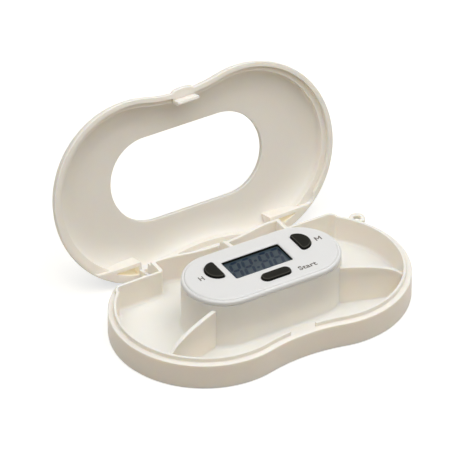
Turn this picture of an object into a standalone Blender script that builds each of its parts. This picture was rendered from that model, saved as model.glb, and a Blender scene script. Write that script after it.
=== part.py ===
"""A pill box with a built-in countdown timer, lid open.

Metres, +Z up, +X along the box to the right, +Y to the hinge side.
The origin is the centre of the underside.
"""

import math

import bmesh
import bpy
from mathutils import Matrix, Vector

# Steps of the round shapes.
LOBE_STEPS = 24
WAIST_STEPS = 4
ROUND_STEPS = 20
END_STEPS = 14
CORNER_STEPS = 4
DOME_STEPS = 6
WIRE_STEPS = 14

# Clearances.
SEAT_GAP = 0.0003
RUN_GAP = 0.0001
PARTING_GAP = 0.00025
BUTTON_GAP = 0.0002
OVERRUN = 0.003

# Plan of the box: two round lobes joined by hollow waist arcs.
LOBE_RADIUS = 0.03435
LOBE_X = 0.02315
WAIST_HOLLOW = 0.00282

# Tray.
RIM_Z = 0.0101
FLOOR = 0.0012
FLOOR_FILLET = 0.0014
UNDER_CHAMFER = 0.0008
RIM_CHAMFER = 0.0004
LIP_INSET = 0.0021
LIP_THICKNESS = 0.001
LIP_HEIGHT = 0.0017
LATCH_HALF_GAP = 0.0052
LATCH_RECESS = 0.0014
LATCH_DEPTH = 0.0037
LATCH_GROOVE = 0.0005
LATCH_GROOVE_HEIGHT = 0.0016

# Hinge: the back corners are squared off by a straight wall and a return wall.
HINGE_DEPTH = 0.0094
HINGE_WALL = 0.0014
RETURN_OUT = 0.00205
RETURN_WALL = 0.0015
RETURN_CORNER = 0.0015
HINGE_CORNER_OUT = 0.0032
HINGE_CORNER = 0.0022
AXIS_INSET = 0.00285
AXIS_Z = 0.0046
PIN_RADIUS = 0.001
PIN_BED = 0.001
BARREL_RADIUS = 0.0023
ARM_WIDTH = 0.0012
CHEEK = 0.0014
OPEN_ANGLE = math.radians(105.5)

# Dividers, from the timer housing to the outer wall.
DIVIDER = 0.0016
DIVIDER_TURN = math.radians(46)
DIVIDER_SPLAY = math.radians(18)
DIVIDER_DROP = 0.0003
# Top edge of a divider: (share of its run from the housing to the wall, share of its height).
SIDE_DIVIDER_SHARES = ((0.33, 0.955), (0.61, 0.88), (0.84, 0.77), (0.96, 0.65))
REAR_DIVIDER_SHARES = ((0.33, 0.985), (0.61, 0.95), (0.82, 0.9), (0.91, 0.83), (0.93, 0.67))

# Eye for a cord, on the right lobe.
EYE_TURN = math.radians(34.6)
EYE_RADIUS = 0.003
EYE_OUT = 0.0021
EYE_HOLE = 0.0013
EYE_THICKNESS = 0.0019
EYE_DROP = 0.0004

# Lid.
LID_RISE = 0.009
LID_PLATE = 0.002
LID_SKIRT = 0.0018
LID_WALL = 0.0038
DOME_REACH = 0.012
DOME_UPRIGHT = 0.0004
INNER_REACH = 0.0092
INNER_DOME = 0.003
POCKET_SKIRT = 0.003
POCKET_REACH = 0.011
POCKET_DOME = 0.0046
SWING_RELIEF = 0.0004
WINDOW_CHAMFER = 0.0005
TAB_HALF = 0.00475
TAB_OUT = 0.0013
TAB_THICKNESS = 0.0019
TONGUE_HALF = 0.0044
TONGUE_THICKNESS = 0.0013
TONGUE_DEPTH = 0.0032
BARB = 0.0002

# Timer housing, a part of the tray, and its cover.
HOUSING_X = 0.0003
COVER_RADIUS = 0.0152
COVER_HALF = 0.0156
HOUSING_WALL = 0.0016
HOUSING_FLARE = 0.0012
COVER_FOOT_Z = 0.0193
COVER_SIDE = 0.0013
COVER_EDGE = 0.0003
FACE_INSET = 0.0010
FACE_STEP = 0.00045
GROOVE = 0.0002
PLATE = 0.00165
WINDOW_GAP = 0.00065
WINDOW_SHIFT = 0.0004
WINDOW_END_GAP = 0.0005
SKIRT = 0.0014
SKIRT_DROP = 0.0038

# Display. Its shares here and those of the buttons are of the cover's radius.
DISPLAY_X = -0.00024
DISPLAY_Y_SHARE = 0.135
DISPLAY_LENGTH = 0.02344
DISPLAY_WIDTH_SHARE = 0.7316
DISPLAY_CORNER = 0.0006
FRAME_WALL = 0.001
FRAME_HEIGHT = 0.00045
THIN_EDGE = 0.0005
GLASS = 0.002
GLASS_BORDER = 0.001
ZEBRA_WIDTH = 0.0018
ZEBRA_BORDER = 0.0004
ZEBRA_SHORT = 0.002

# Buttons.
BUTTON_PROUD = 0.001
BUTTON_TRAVEL = 0.0007
BUTTON_FLANGE = 0.001
FLANGE_OUT = 0.0006
CAP_EDGE = 0.0005
SIDE_BUTTON_REACH = 0.0053
SIDE_BUTTON_HALF = 0.00475
SIDE_BUTTON_CORNER = 0.001
HOUR_SPACE = 0.00284
HOUR_Y = 0.004
MINUTE_SPACE = 0.00562
MINUTE_Y = 0.00395
START_X = 0.0012
START_Y_SHARE = 0.5757
START_HALF = 0.0037
START_RADIUS_SHARE = 0.1382
PLUNGER_RADIUS = 0.0012
DOME_RADIUS_SHARE = 0.158
DOME_HEIGHT = 0.0006
# Profile of a snap dome and of the chip's blob: (share of the radius, share of the height).
BULGE_SHARES = ((1, 0), (0.85, 0.6), (0.5, 1))

# Circuit board and what it carries.
BOARD = 0.0016
BOARD_DROP = 0.0023
BOARD_RADIUS = 0.011
BOARD_HALF = 0.0149
BOSS_RADIUS = 0.0019
BOARD_SCREW_RADIUS = 0.0008
BOARD_SCREW_HEAD = 0.0016
BOARD_SCREW_HEAD_HEIGHT = 0.001
BOARD_SCREW_REACH = 0.0022
LEFT_BOSS_SPACE = 0.0081
LEFT_BOSS_Y = 0.003
FRONT_LEFT_BOSS = (-0.0105, -0.0082)
FRONT_RIGHT_BOSS = (0.0125, -0.0082)
CHIP_X = 0.003
CHIP_Y = 0.001
CHIP_RADIUS = 0.0038
CHIP_HEIGHT = 0.001
CRYSTAL_X = 0.011
CRYSTAL_Y = 0.006
CRYSTAL_RADIUS = 0.001
CRYSTAL_LENGTH = 0.006

# Base plate of the timer, its two long screws and the buzzer.
BASE_PLATE = 0.0022
BASE_BORDER = 0.0008
POST_X = 0.0225
POST_Y = -0.005
POST_RADIUS = 0.0022
COVER_SCREW_RADIUS = 0.001
COVER_SCREW_HEAD = 0.0022
COVER_SCREW_HEAD_HEIGHT = 0.0009
COVER_SCREW_REACH = 0.0065
HEAD_SINK = 0.0001
SLOT_WIDTH = 0.0006
SLOT_DEPTH = 0.0004
BUZZER_X = 0.0125
BUZZER_RADIUS = 0.0075
BUZZER_PLATE = 0.00025
BUZZER_LEDGE = 0.0007
BUZZER_STEP = 0.0003
BUZZER_WALL = 0.0008
BUZZER_WALL_HEIGHT = 0.0011
CERAMIC_RADIUS = 0.005
CERAMIC = 0.00025
SOUND_HOLE = 0.0007
SOUND_CIRCLE = 0.0032
SOUND_COUNT = 6

# Battery: one button cell in a cup, behind a door that turns with a coin.
CUP_X = -0.012
CELL_RADIUS = 0.0058
CELL_HEIGHT = 0.0054
CELL_EDGE = 0.0005
CUP_WALL = 0.001
CUP_ABOVE_CELL = 0.0004
DOOR_RADIUS = 0.0079
DOOR_RECESS = 0.0012
DOOR_SINK = 0.0002
HUB_RADIUS = 0.0066
LUG_OUT = 0.0011
LUG_WIDTH = 0.003
LUG_THICKNESS = 0.0008
LUG_TURN = math.radians(60)
COIN_SLOT_LENGTH = 0.009
COIN_SLOT_WIDTH = 0.0016
COIN_SLOT_DEPTH = 0.0006
CONTACT = 0.0003
CONTACT_WIDTH = 0.003
CONTACT_SLOT_GAP = 0.0005
FOOT_LENGTH = 0.006
SOLDER_TAB = 0.002
POSITIVE_FOOT_LIFT = 0.001

# Wires of the buzzer.
WIRE_RADIUS = 0.00035
WIRE_SPACING = 0.0015
WIRE_BOW = 0.003

# Heights and radii that follow from the sizes above.
WAIST_HALF_WIDTH = LOBE_RADIUS - WAIST_HOLLOW
WAIST_RADIUS = (LOBE_X**2 + WAIST_HALF_WIDTH**2 - LOBE_RADIUS**2) / (2 * WAIST_HOLLOW)
WAIST_Y = WAIST_HALF_WIDTH + WAIST_RADIUS
LOBE_TURN = math.atan2(WAIST_Y, -LOBE_X)
INNER_WALL = LIP_INSET + LIP_THICKNESS
LIP_TOP_Z = RIM_Z + LIP_HEIGHT
HINGE_WALL_Y = LOBE_RADIUS - HINGE_DEPTH
HINGE_REACH = math.sqrt((LOBE_RADIUS - INNER_WALL) ** 2 - HINGE_WALL_Y**2)
HINGE_CORNER_X = LOBE_X + HINGE_REACH + HINGE_CORNER_OUT
PARTITION_Y = HINGE_WALL_Y + HINGE_WALL
RETURN_X = LOBE_X + RETURN_OUT
AXIS_Y = LOBE_RADIUS - AXIS_INSET
POCKET_X = RETURN_X + RETURN_WALL
ARM_X = POCKET_X + SEAT_GAP
ARM_END_X = ARM_X + ARM_WIDTH
CHEEK_X = ARM_END_X + SEAT_GAP
LID_RIM_Z = RIM_Z + PARTING_GAP
LID_TOP_Z = LID_RIM_Z + LID_RISE
LID_PLATE_Z = LID_TOP_Z - LID_PLATE
LID_LEDGE_Z = LIP_TOP_Z + SEAT_GAP
LEDGE_GROWTH = LIP_THICKNESS + SEAT_GAP
DISPLAY_Y = COVER_RADIUS * DISPLAY_Y_SHARE
DISPLAY_WIDTH = COVER_RADIUS * DISPLAY_WIDTH_SHARE
HOUR_X = DISPLAY_X - DISPLAY_LENGTH / 2 - HOUR_SPACE
MINUTE_X = DISPLAY_X + DISPLAY_LENGTH / 2 + MINUTE_SPACE
LEFT_BOSS = (HOUR_X - LEFT_BOSS_SPACE, LEFT_BOSS_Y)
START_Y = -COVER_RADIUS * START_Y_SHARE
START_RADIUS = COVER_RADIUS * START_RADIUS_SHARE
DOME_RADIUS = COVER_RADIUS * DOME_RADIUS_SHARE
BORE_RADIUS = COVER_RADIUS - HOUSING_WALL
HOUSING_TOP_Z = COVER_FOOT_Z - SEAT_GAP
LEDGE_Z = COVER_FOOT_Z + COVER_SIDE + COVER_EDGE
FACE_Z = LEDGE_Z + FACE_STEP
PLATE_Z = FACE_Z - PLATE
SKIRT_RADIUS = BORE_RADIUS - SEAT_GAP
SKIRT_INNER = SKIRT_RADIUS - SKIRT
BASE_RADIUS = BORE_RADIUS + BASE_BORDER - SEAT_GAP
FRAME_TOP_Z = FACE_Z - THIN_EDGE - RUN_GAP
FRAME_Z = FRAME_TOP_Z - FRAME_HEIGHT
GLASS_TOP_Z = FRAME_Z - RUN_GAP
GLASS_Z = GLASS_TOP_Z - GLASS
BOARD_TOP_Z = GLASS_Z - BOARD_DROP
BOARD_Z = BOARD_TOP_Z - BOARD
DOME_TOP_Z = BOARD_TOP_Z + SEAT_GAP + DOME_HEIGHT
FLANGE_TOP_Z = PLATE_Z - SEAT_GAP
CELL_Z = DOOR_RECESS + (BASE_PLATE - DOOR_RECESS) + SEAT_GAP + LUG_THICKNESS + SEAT_GAP
CUP_TOP_Z = CELL_Z + CELL_HEIGHT + CUP_ABOVE_CELL
CUP_BORE = CELL_RADIUS + SEAT_GAP
LUG_BORE = HUB_RADIUS + LUG_OUT + SEAT_GAP
CUP_RADIUS = LUG_BORE + CUP_WALL


def clear_scene():
    """Removes every object of the scene."""
    for old in list(bpy.data.objects):
        bpy.data.objects.remove(old)


def plastic(name, colour, roughness, metallic=0.0):
    """A plain material of one colour."""
    made = bpy.data.materials.new(name)
    made.use_nodes = True
    shader = made.node_tree.nodes["Principled BSDF"]
    shader.inputs["Base Color"].default_value = (*colour, 1)
    shader.inputs["Roughness"].default_value = roughness
    shader.inputs["Metallic"].default_value = metallic
    made.diffuse_color = (*colour, 1)
    return made


def arc(x, y, radius, start, stop, steps):
    """Points on an arc, both ends included."""
    turn = (stop - start) / steps
    return [
        (x + radius * math.cos(start + turn * i), y + radius * math.sin(start + turn * i))
        for i in range(steps + 1)
    ]


def circle(x, y, radius, steps=ROUND_STEPS):
    """A round outline."""
    return arc(x, y, radius, 0, 2 * math.pi, steps)[:-1]


def stadium(half, radius, y=0.0, x=HOUSING_X):
    """An outline with two straight sides and two round ends."""
    quarter = math.pi / 2
    right = arc(x + half, y, radius, -quarter, quarter, END_STEPS)
    left = arc(x - half, y, radius, quarter, 3 * quarter, END_STEPS)
    return right + left


def rounded_box(x, y, length, width, corner):
    """A rectangle with rounded corners about a centre."""
    quarter = math.pi / 2
    points = []
    for turn, (side_x, side_y) in enumerate(((1, -1), (1, 1), (-1, 1), (-1, -1))):
        corner_x = x + side_x * (length / 2 - corner)
        corner_y = y + side_y * (width / 2 - corner)
        start = (turn - 1) * quarter
        points += arc(corner_x, corner_y, corner, start, start + quarter, CORNER_STEPS)
    return points


def mirrored(right_half):
    """Closes an outline from its right half, which runs from the front centre to the back centre."""
    return right_half + [(-x, y) for x, y in reversed(right_half[1:-1])]


def box_plan(inset):
    """The plan of the box, that far inside its outer edge."""
    quarter = math.pi / 2
    lean = math.pi - LOBE_TURN
    front = arc(0, -WAIST_Y, WAIST_RADIUS + inset, quarter, lean, WAIST_STEPS)
    lobe = arc(LOBE_X, 0, LOBE_RADIUS - inset, -LOBE_TURN, LOBE_TURN, LOBE_STEPS)
    back = arc(0, WAIST_Y, WAIST_RADIUS + inset, -lean, -quarter, WAIST_STEPS)
    return mirrored(front[:-1] + lobe + back[1:])


def hollow_plan(inset, side_x=RETURN_X):
    """The plan of the tray's hollow: squared off at the back corners for the hinges.

    side_x is where the return wall stands at no inset.
    """
    quarter = math.pi / 2
    lean = math.pi - LOBE_TURN
    radius = LOBE_RADIUS - INNER_WALL - inset
    corner_x = HINGE_CORNER_X - HINGE_CORNER
    corner_y = HINGE_WALL_Y - HINGE_CORNER
    return_x = side_x + RETURN_CORNER
    return_y = HINGE_WALL_Y + RETURN_CORNER
    meets_corner = min(math.acos((HINGE_CORNER_X - inset - LOBE_X) / radius), math.asin(corner_y / radius))
    leaves_return = min(math.acos((side_x - inset - LOBE_X) / radius), LOBE_TURN)
    front = arc(0, -WAIST_Y, WAIST_RADIUS + INNER_WALL + inset, quarter, lean, WAIST_STEPS)
    lobe = arc(LOBE_X, 0, radius, -LOBE_TURN, meets_corner, LOBE_STEPS)
    corner = arc(corner_x, corner_y, HINGE_CORNER - inset, 0, quarter, CORNER_STEPS)
    turn_back = arc(return_x, return_y, RETURN_CORNER + inset, 3 * quarter, 2 * quarter, CORNER_STEPS)
    behind = arc(LOBE_X, 0, radius, leaves_return, LOBE_TURN, CORNER_STEPS)
    back = arc(0, WAIST_Y, WAIST_RADIUS + INNER_WALL + inset, -lean, -quarter, WAIST_STEPS)
    return mirrored(front[:-1] + lobe + corner + turn_back + behind[:-1] + back)


def side_button_plan(x, y, way, grow):
    """A D: flat on the display's side, round on the outer side."""
    quarter = math.pi / 2
    corner = SIDE_BUTTON_CORNER + grow
    half = SIDE_BUTTON_HALF + grow
    centre = SIDE_BUTTON_CORNER
    reach = SIDE_BUTTON_REACH - SIDE_BUTTON_CORNER + grow
    points = []
    for i in range(END_STEPS + 1):
        turn = -quarter + math.pi * i / END_STEPS
        points.append((centre + reach * math.cos(turn), half * math.sin(turn)))
    straight = half - corner
    points += arc(centre, straight, corner, quarter, 2 * quarter, CORNER_STEPS)[1:]
    points += arc(centre, -straight, corner, 2 * quarter, 3 * quarter, CORNER_STEPS)[:-1]
    placed = [(x + way * px, y + py) for px, py in points]
    return placed if way > 0 else placed[::-1]


def hour_plan(grow):
    """Outline of the left button."""
    return side_button_plan(HOUR_X, HOUR_Y, -1, grow)


def minute_plan(grow):
    """Outline of the right button."""
    return side_button_plan(MINUTE_X, MINUTE_Y, 1, grow)


def start_plan(grow):
    """Outline of the front button."""
    return stadium(START_HALF, START_RADIUS + grow, START_Y, START_X)


def mesh_object(name, rings):
    """A closed solid through rings of equal count, capped at both ends."""
    made = bmesh.new()
    loops = [[made.verts.new(point) for point in ring] for ring in rings]
    count = len(loops[0])
    for low, high in zip(loops, loops[1:]):
        for i in range(count):
            j = (i + 1) % count
            made.faces.new((low[i], low[j], high[j], high[i]))
    made.faces.new(loops[0][::-1])
    made.faces.new(loops[-1])
    bmesh.ops.recalc_face_normals(made, faces=made.faces)
    mesh = bpy.data.meshes.new(name)
    made.to_mesh(mesh)
    made.free()
    solid = bpy.data.objects.new(name, mesh)
    bpy.context.collection.objects.link(solid)
    return solid


def loft(name, *layers):
    """A solid through flat outlines, each with its own height."""
    return mesh_object(name, [[(x, y, z) for x, y in outline] for outline, z in layers])


def prism(name, outline, low_z, high_z):
    """A straight solid over one outline."""
    return loft(name, (outline, low_z), (outline, high_z))


def bar(name, profile, start_x, stop_x):
    """A straight solid along X over a profile of (y, z) points."""
    return mesh_object(name, [[(x, y, z) for y, z in profile] for x in (start_x, stop_x)])


def rail(name, profile, start_y, stop_y):
    """A straight solid along Y over a profile of (x, z) points."""
    return mesh_object(name, [[(x, y, z) for x, z in profile] for y in (start_y, stop_y)])


def block(name, low, high):
    """A box between two corners."""
    outline = [(low[0], low[1]), (high[0], low[1]), (high[0], high[1]), (low[0], high[1])]
    return prism(name, outline, low[2], high[2])


def combine(target, other, operation):
    """Joins, cuts or crosses the target with another solid, which is used up."""
    modifier = target.modifiers.new(operation, "BOOLEAN")
    modifier.object = other
    modifier.operation = operation
    modifier.solver = "EXACT"
    graph = bpy.context.evaluated_depsgraph_get()
    mesh = bpy.data.meshes.new_from_object(target.evaluated_get(graph))
    target.modifiers.clear()
    target.data = mesh
    bpy.data.objects.remove(other)


def join(target, *others):
    """Unites solids with the target."""
    for other in others:
        combine(target, other, "UNION")


def cut(target, *cutters):
    """Takes cutters out of the target."""
    for cutter in cutters:
        combine(target, cutter, "DIFFERENCE")


def finish(solid, material, origin=(0, 0, 0), turn=None):
    """Gives a solid its material and origin, shades it, and turns it about that origin."""
    solid.data.transform(Matrix.Translation(-Vector(origin)))
    solid.data.materials.clear()
    solid.data.materials.append(material)
    solid.data.shade_smooth()
    solid.data.set_sharp_from_angle(angle=math.radians(32))
    solid.location = origin
    if turn is not None:
        solid.rotation_euler = turn
    return solid


def reach_to_lobe(x, y, heading, radius):
    """How far a ray runs from a point inside the right lobe to a circle about the lobe's centre."""
    along = (x - LOBE_X) * math.cos(heading) + y * math.sin(heading)
    return -along + math.sqrt(along**2 - (x - LOBE_X) ** 2 - y**2 + radius**2)


def blade_profile(length, top_z, shares):
    """Side view of a divider of that run: its top follows the inside of the closed lid."""
    start = -HOUSING_WALL / 2
    stop = length + LIP_THICKNESS / 2
    top = [(length * run, top_z * height) for run, height in shares]
    return [(start, FLOOR / 2), (stop, FLOOR / 2), (stop, top[-1][1]), *reversed(top), (start, top_z)]


def add_dividers(tray):
    """The three dividers between the housing and the wall."""
    top_z = LID_PLATE_Z - SEAT_GAP - DIVIDER_DROP
    x = COVER_HALF + COVER_RADIUS * math.cos(DIVIDER_TURN)
    y = -COVER_RADIUS * math.sin(DIVIDER_TURN)
    for way, heading in ((-1, math.pi + DIVIDER_SPLAY), (1, -DIVIDER_SPLAY)):
        start_x = HOUSING_X + way * x
        length = reach_to_lobe(way * start_x, y, -DIVIDER_SPLAY, LOBE_RADIUS - INNER_WALL)
        blade = rail("blade", blade_profile(length, top_z, SIDE_DIVIDER_SHARES), -DIVIDER / 2, DIVIDER / 2)
        blade.data.transform(Matrix.Translation((start_x, y, 0)) @ Matrix.Rotation(heading, 4, "Z"))
        join(tray, blade)
    length = WAIST_HALF_WIDTH - INNER_WALL - COVER_RADIUS
    rear = blade_profile(length, top_z, REAR_DIVIDER_SHARES)
    placed = [(COVER_RADIUS + run, z) for run, z in rear]
    join(tray, bar("rear blade", placed, -DIVIDER / 2, DIVIDER / 2))


def cheek_profile():
    """Side view of the cheek that holds the outer end of a hinge pin."""
    reach = BARREL_RADIUS - RUN_GAP
    crown = arc(AXIS_Y, AXIS_Z, reach, 0, math.pi / 2, CORNER_STEPS)
    inside_wall_y = HINGE_WALL_Y + HINGE_WALL / 2
    return [(inside_wall_y, FLOOR / 2), (AXIS_Y + reach, FLOOR / 2), *crown, (inside_wall_y, AXIS_Z + reach)]


def side_span(way, near, far):
    """Low and high X of a span on the left (-1) or right (1) side."""
    return min(way * near, way * far), max(way * near, way * far)


def build_tray():
    """The tray with its housing, dividers, hinge pockets and cord eye."""
    tray = loft(
        "base_tray",
        (box_plan(UNDER_CHAMFER), 0),
        (box_plan(0), UNDER_CHAMFER),
        (box_plan(0), RIM_Z - RIM_CHAMFER),
        (box_plan(RIM_CHAMFER), RIM_Z),
    )
    side = LOBE_X + LOBE_RADIUS
    high = LIP_TOP_Z + OVERRUN
    join(tray, prism("lip", hollow_plan(-LIP_THICKNESS), RIM_Z / 2, LIP_TOP_Z))
    layers = []
    for i in range(CORNER_STEPS + 1):
        turn = math.pi / 2 * (1 - i / CORNER_STEPS)
        inset = FLOOR_FILLET * (1 - math.cos(turn))
        layers.append((hollow_plan(inset), FLOOR + FLOOR_FILLET * (1 - math.sin(turn))))
    cut(tray, loft("hollow", *layers, (hollow_plan(0), high)))
    for way in (-1, 1):
        low_x, high_x = side_span(way, POCKET_X, side)
        pocket_low = (low_x, PARTITION_Y, FLOOR)
        cut(tray, block("pocket", pocket_low, (high_x, side, high)))
        low_x, high_x = side_span(way, CHEEK_X, CHEEK_X + CHEEK)
        join(tray, bar("cheek", cheek_profile(), low_x, high_x))
        low_x, high_x = side_span(way, POCKET_X - PIN_BED, CHEEK_X + CHEEK + OVERRUN)
        bore = circle(AXIS_Y, AXIS_Z, PIN_RADIUS + RUN_GAP)
        cut(tray, bar("pin bore", bore, low_x, high_x))
    join(
        tray,
        loft(
            "housing",
            (stadium(COVER_HALF, COVER_RADIUS + HOUSING_FLARE), FLOOR / 2),
            (stadium(COVER_HALF, COVER_RADIUS + HOUSING_FLARE / 2), FLOOR + HOUSING_FLARE / 3),
            (stadium(COVER_HALF, COVER_RADIUS), FLOOR + HOUSING_FLARE),
            (stadium(COVER_HALF, COVER_RADIUS), HOUSING_TOP_Z),
        ),
    )
    add_dividers(tray)
    seat_z = BASE_PLATE + SEAT_GAP
    cut(
        tray,
        prism("bore", stadium(COVER_HALF, BORE_RADIUS), -OVERRUN, HOUSING_TOP_Z + OVERRUN),
        prism("seat", stadium(COVER_HALF, BORE_RADIUS + BASE_BORDER), -OVERRUN, seat_z),
    )
    eye_x = LOBE_X + (LOBE_RADIUS + EYE_OUT) * math.cos(EYE_TURN)
    eye_y = (LOBE_RADIUS + EYE_OUT) * math.sin(EYE_TURN)
    eye_top = RIM_Z - EYE_DROP
    join(tray, prism("eye", circle(eye_x, eye_y, EYE_RADIUS), eye_top - EYE_THICKNESS, eye_top))
    eye_hole = circle(eye_x, eye_y, EYE_HOLE)
    cut(tray, prism("eye hole", eye_hole, eye_top - EYE_THICKNESS - OVERRUN, eye_top + OVERRUN))
    wall_y = WAIST_HALF_WIDTH - LIP_INSET - RUN_GAP
    seat_low = (-LATCH_HALF_GAP, -wall_y, RIM_Z - LATCH_DEPTH)
    seat_high = (LATCH_HALF_GAP, -wall_y + LATCH_RECESS + LIP_THICKNESS, high)
    cut(tray, block("latch seat", seat_low, seat_high))
    barb_z = LID_RIM_Z - TONGUE_DEPTH + TONGUE_THICKNESS / 2
    groove_low = (-LATCH_HALF_GAP, -wall_y - LATCH_GROOVE, barb_z - LATCH_GROOVE_HEIGHT / 2)
    groove_high = (LATCH_HALF_GAP, -wall_y + LATCH_GROOVE, barb_z + LATCH_GROOVE_HEIGHT / 2)
    cut(tray, block("latch groove", groove_low, groove_high))
    return tray


def dome_layers(wall, upright, low_z, high_z, reach):
    """Layers of a dome over the box plan: upright sides, then a quarter ellipse to a flat top."""
    layers = []
    for i in range(DOME_STEPS + 1):
        turn = math.pi / 2 * i / DOME_STEPS
        inset = wall + reach * (1 - math.cos(turn))
        layers.append((box_plan(inset), low_z + upright + (high_z - low_z - upright) * math.sin(turn)))
    return layers


def arm_profile():
    """Side view of a hinge arm of the closed lid."""
    under = arc(AXIS_Y, AXIS_Z, BARREL_RADIUS, -math.pi, 0, ROUND_STEPS // 2)
    root_z = LID_RIM_Z + LID_SKIRT / 2
    return [(AXIS_Y - BARREL_RADIUS, root_z), *under, (AXIS_Y + BARREL_RADIUS, root_z)]


def latch_profile():
    """Side view of the latch tongue, with a rounded barb towards the wall."""
    outer = -(WAIST_HALF_WIDTH - LIP_INSET - SEAT_GAP)
    inner = outer + TONGUE_THICKNESS
    foot_z = LID_RIM_Z - TONGUE_DEPTH
    barb_z = foot_z + TONGUE_THICKNESS / 2
    return [
        (inner, LID_LEDGE_Z + LID_SKIRT / 2),
        (outer, LID_LEDGE_Z + LID_SKIRT / 2),
        (outer, barb_z + TONGUE_THICKNESS / 2),
        (outer - BARB, barb_z),
        (outer + TONGUE_THICKNESS / 3, foot_z),
        (inner - TONGUE_THICKNESS / 3, foot_z),
        (inner, barb_z),
    ]


def build_lid():
    """The domed lid with its window, hinge arms, hinge pockets and latch, made closed."""
    lid = loft(
        "lid_shell",
        (box_plan(0), LID_RIM_Z),
        *dome_layers(0, DOME_UPRIGHT, LID_RIM_Z, LID_TOP_Z, DOME_REACH),
    )
    side = LOBE_X + LOBE_RADIUS
    under = LID_RIM_Z - OVERRUN
    upright = LID_PLATE_Z - INNER_DOME - under
    ledge = prism("ledge", hollow_plan(-LEDGE_GROWTH, ARM_X - LEDGE_GROWTH), under, LID_LEDGE_Z)
    inner = dome_layers(LID_WALL, upright, under, LID_PLATE_Z, INNER_REACH)
    hollow = loft("hollow", (box_plan(LID_WALL), under), *inner)
    for way in (-1, 1):
        low_x, high_x = side_span(way, ARM_X, side + OVERRUN)
        corner_low = (low_x, PARTITION_Y, under - OVERRUN)
        cut(hollow, block("corner", corner_low, (high_x, side, LID_TOP_Z + OVERRUN)))
    cut(lid, ledge, hollow)
    for way in (-1, 1):
        upright = LID_PLATE_Z - POCKET_DOME - under
        layers = dome_layers(POCKET_SKIRT, upright, under, LID_PLATE_Z, POCKET_REACH)
        pocket = loft("pocket", (box_plan(POCKET_SKIRT), under), *layers)
        low_x, high_x = side_span(way, ARM_END_X, side + OVERRUN)
        keep_low = (low_x, PARTITION_Y + HINGE_WALL, under - OVERRUN)
        keep = block("keep", keep_low, (high_x, side, LID_TOP_Z + OVERRUN))
        combine(pocket, keep, "INTERSECT")
        cut(lid, pocket)
    relief_low = (-ARM_X, HINGE_WALL_Y - HINGE_WALL, under)
    cut(lid, block("relief", relief_low, (ARM_X, side, LID_RIM_Z + SWING_RELIEF)))
    for way in (-1, 1):
        low_x, high_x = side_span(way, ARM_X, ARM_END_X)
        join(lid, bar("arm", arm_profile(), low_x, high_x))
        bore = circle(AXIS_Y, AXIS_Z, PIN_RADIUS + RUN_GAP)
        cut(lid, bar("arm bore", bore, low_x - OVERRUN, high_x + OVERRUN))
    window_radius = COVER_RADIUS + WINDOW_GAP
    window_half = COVER_HALF + COVER_RADIUS + WINDOW_END_GAP - window_radius
    shift = -WINDOW_SHIFT
    cut(
        lid,
        loft(
            "window",
            (stadium(window_half, window_radius + WINDOW_CHAMFER * 2, shift), LID_PLATE_Z - WINDOW_CHAMFER),
            (stadium(window_half, window_radius, shift), LID_PLATE_Z + WINDOW_CHAMFER),
            (stadium(window_half, window_radius, shift), LID_TOP_Z + OVERRUN),
        ),
    )
    join(lid, build_thumb_tab(), bar("tongue", latch_profile(), -TONGUE_HALF, TONGUE_HALF))
    return lid


def build_thumb_tab():
    """The small lip on the lid's front edge that a thumb lifts."""
    edge = WAIST_HALF_WIDTH + TAB_OUT
    front = -edge
    back = -(WAIST_HALF_WIDTH - LID_SKIRT / 2)
    shoulder = TAB_HALF * 2 / 3
    outline = [
        (-TAB_HALF, back),
        (-TAB_HALF, front + TAB_OUT),
        (-shoulder, front + TAB_OUT / 3),
        (-shoulder / 2, front),
        (shoulder / 2, front),
        (shoulder, front + TAB_OUT / 3),
        (TAB_HALF, front + TAB_OUT),
        (TAB_HALF, back),
    ]
    return prism("thumb tab", outline, LID_RIM_Z, LID_RIM_Z + TAB_THICKNESS)


def screw(name, x, y, head_z, head_radius, head_height, shank_radius, shank_top_z):
    """A screw driven upwards: its slotted head is below."""
    made = loft(
        name,
        (circle(x, y, head_radius - SLOT_DEPTH / 2), head_z),
        (circle(x, y, head_radius), head_z + SLOT_DEPTH / 2),
        (circle(x, y, head_radius), head_z + head_height),
    )
    shank = loft(
        "shank",
        (circle(x, y, shank_radius), head_z + head_height / 2),
        (circle(x, y, shank_radius), shank_top_z - shank_radius),
        (circle(x, y, shank_radius / 3), shank_top_z),
    )
    join(made, shank)
    slot_low = (x - head_radius - OVERRUN, y - SLOT_WIDTH / 2, head_z - OVERRUN)
    slot_high = (x + head_radius + OVERRUN, y + SLOT_WIDTH / 2, head_z + SLOT_DEPTH)
    cut(made, block("slot", slot_low, slot_high))
    return made


def boss_places():
    """Where the board is screwed to the cover."""
    return {"left": LEFT_BOSS, "front_left": FRONT_LEFT_BOSS, "front_right": FRONT_RIGHT_BOSS}


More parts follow.
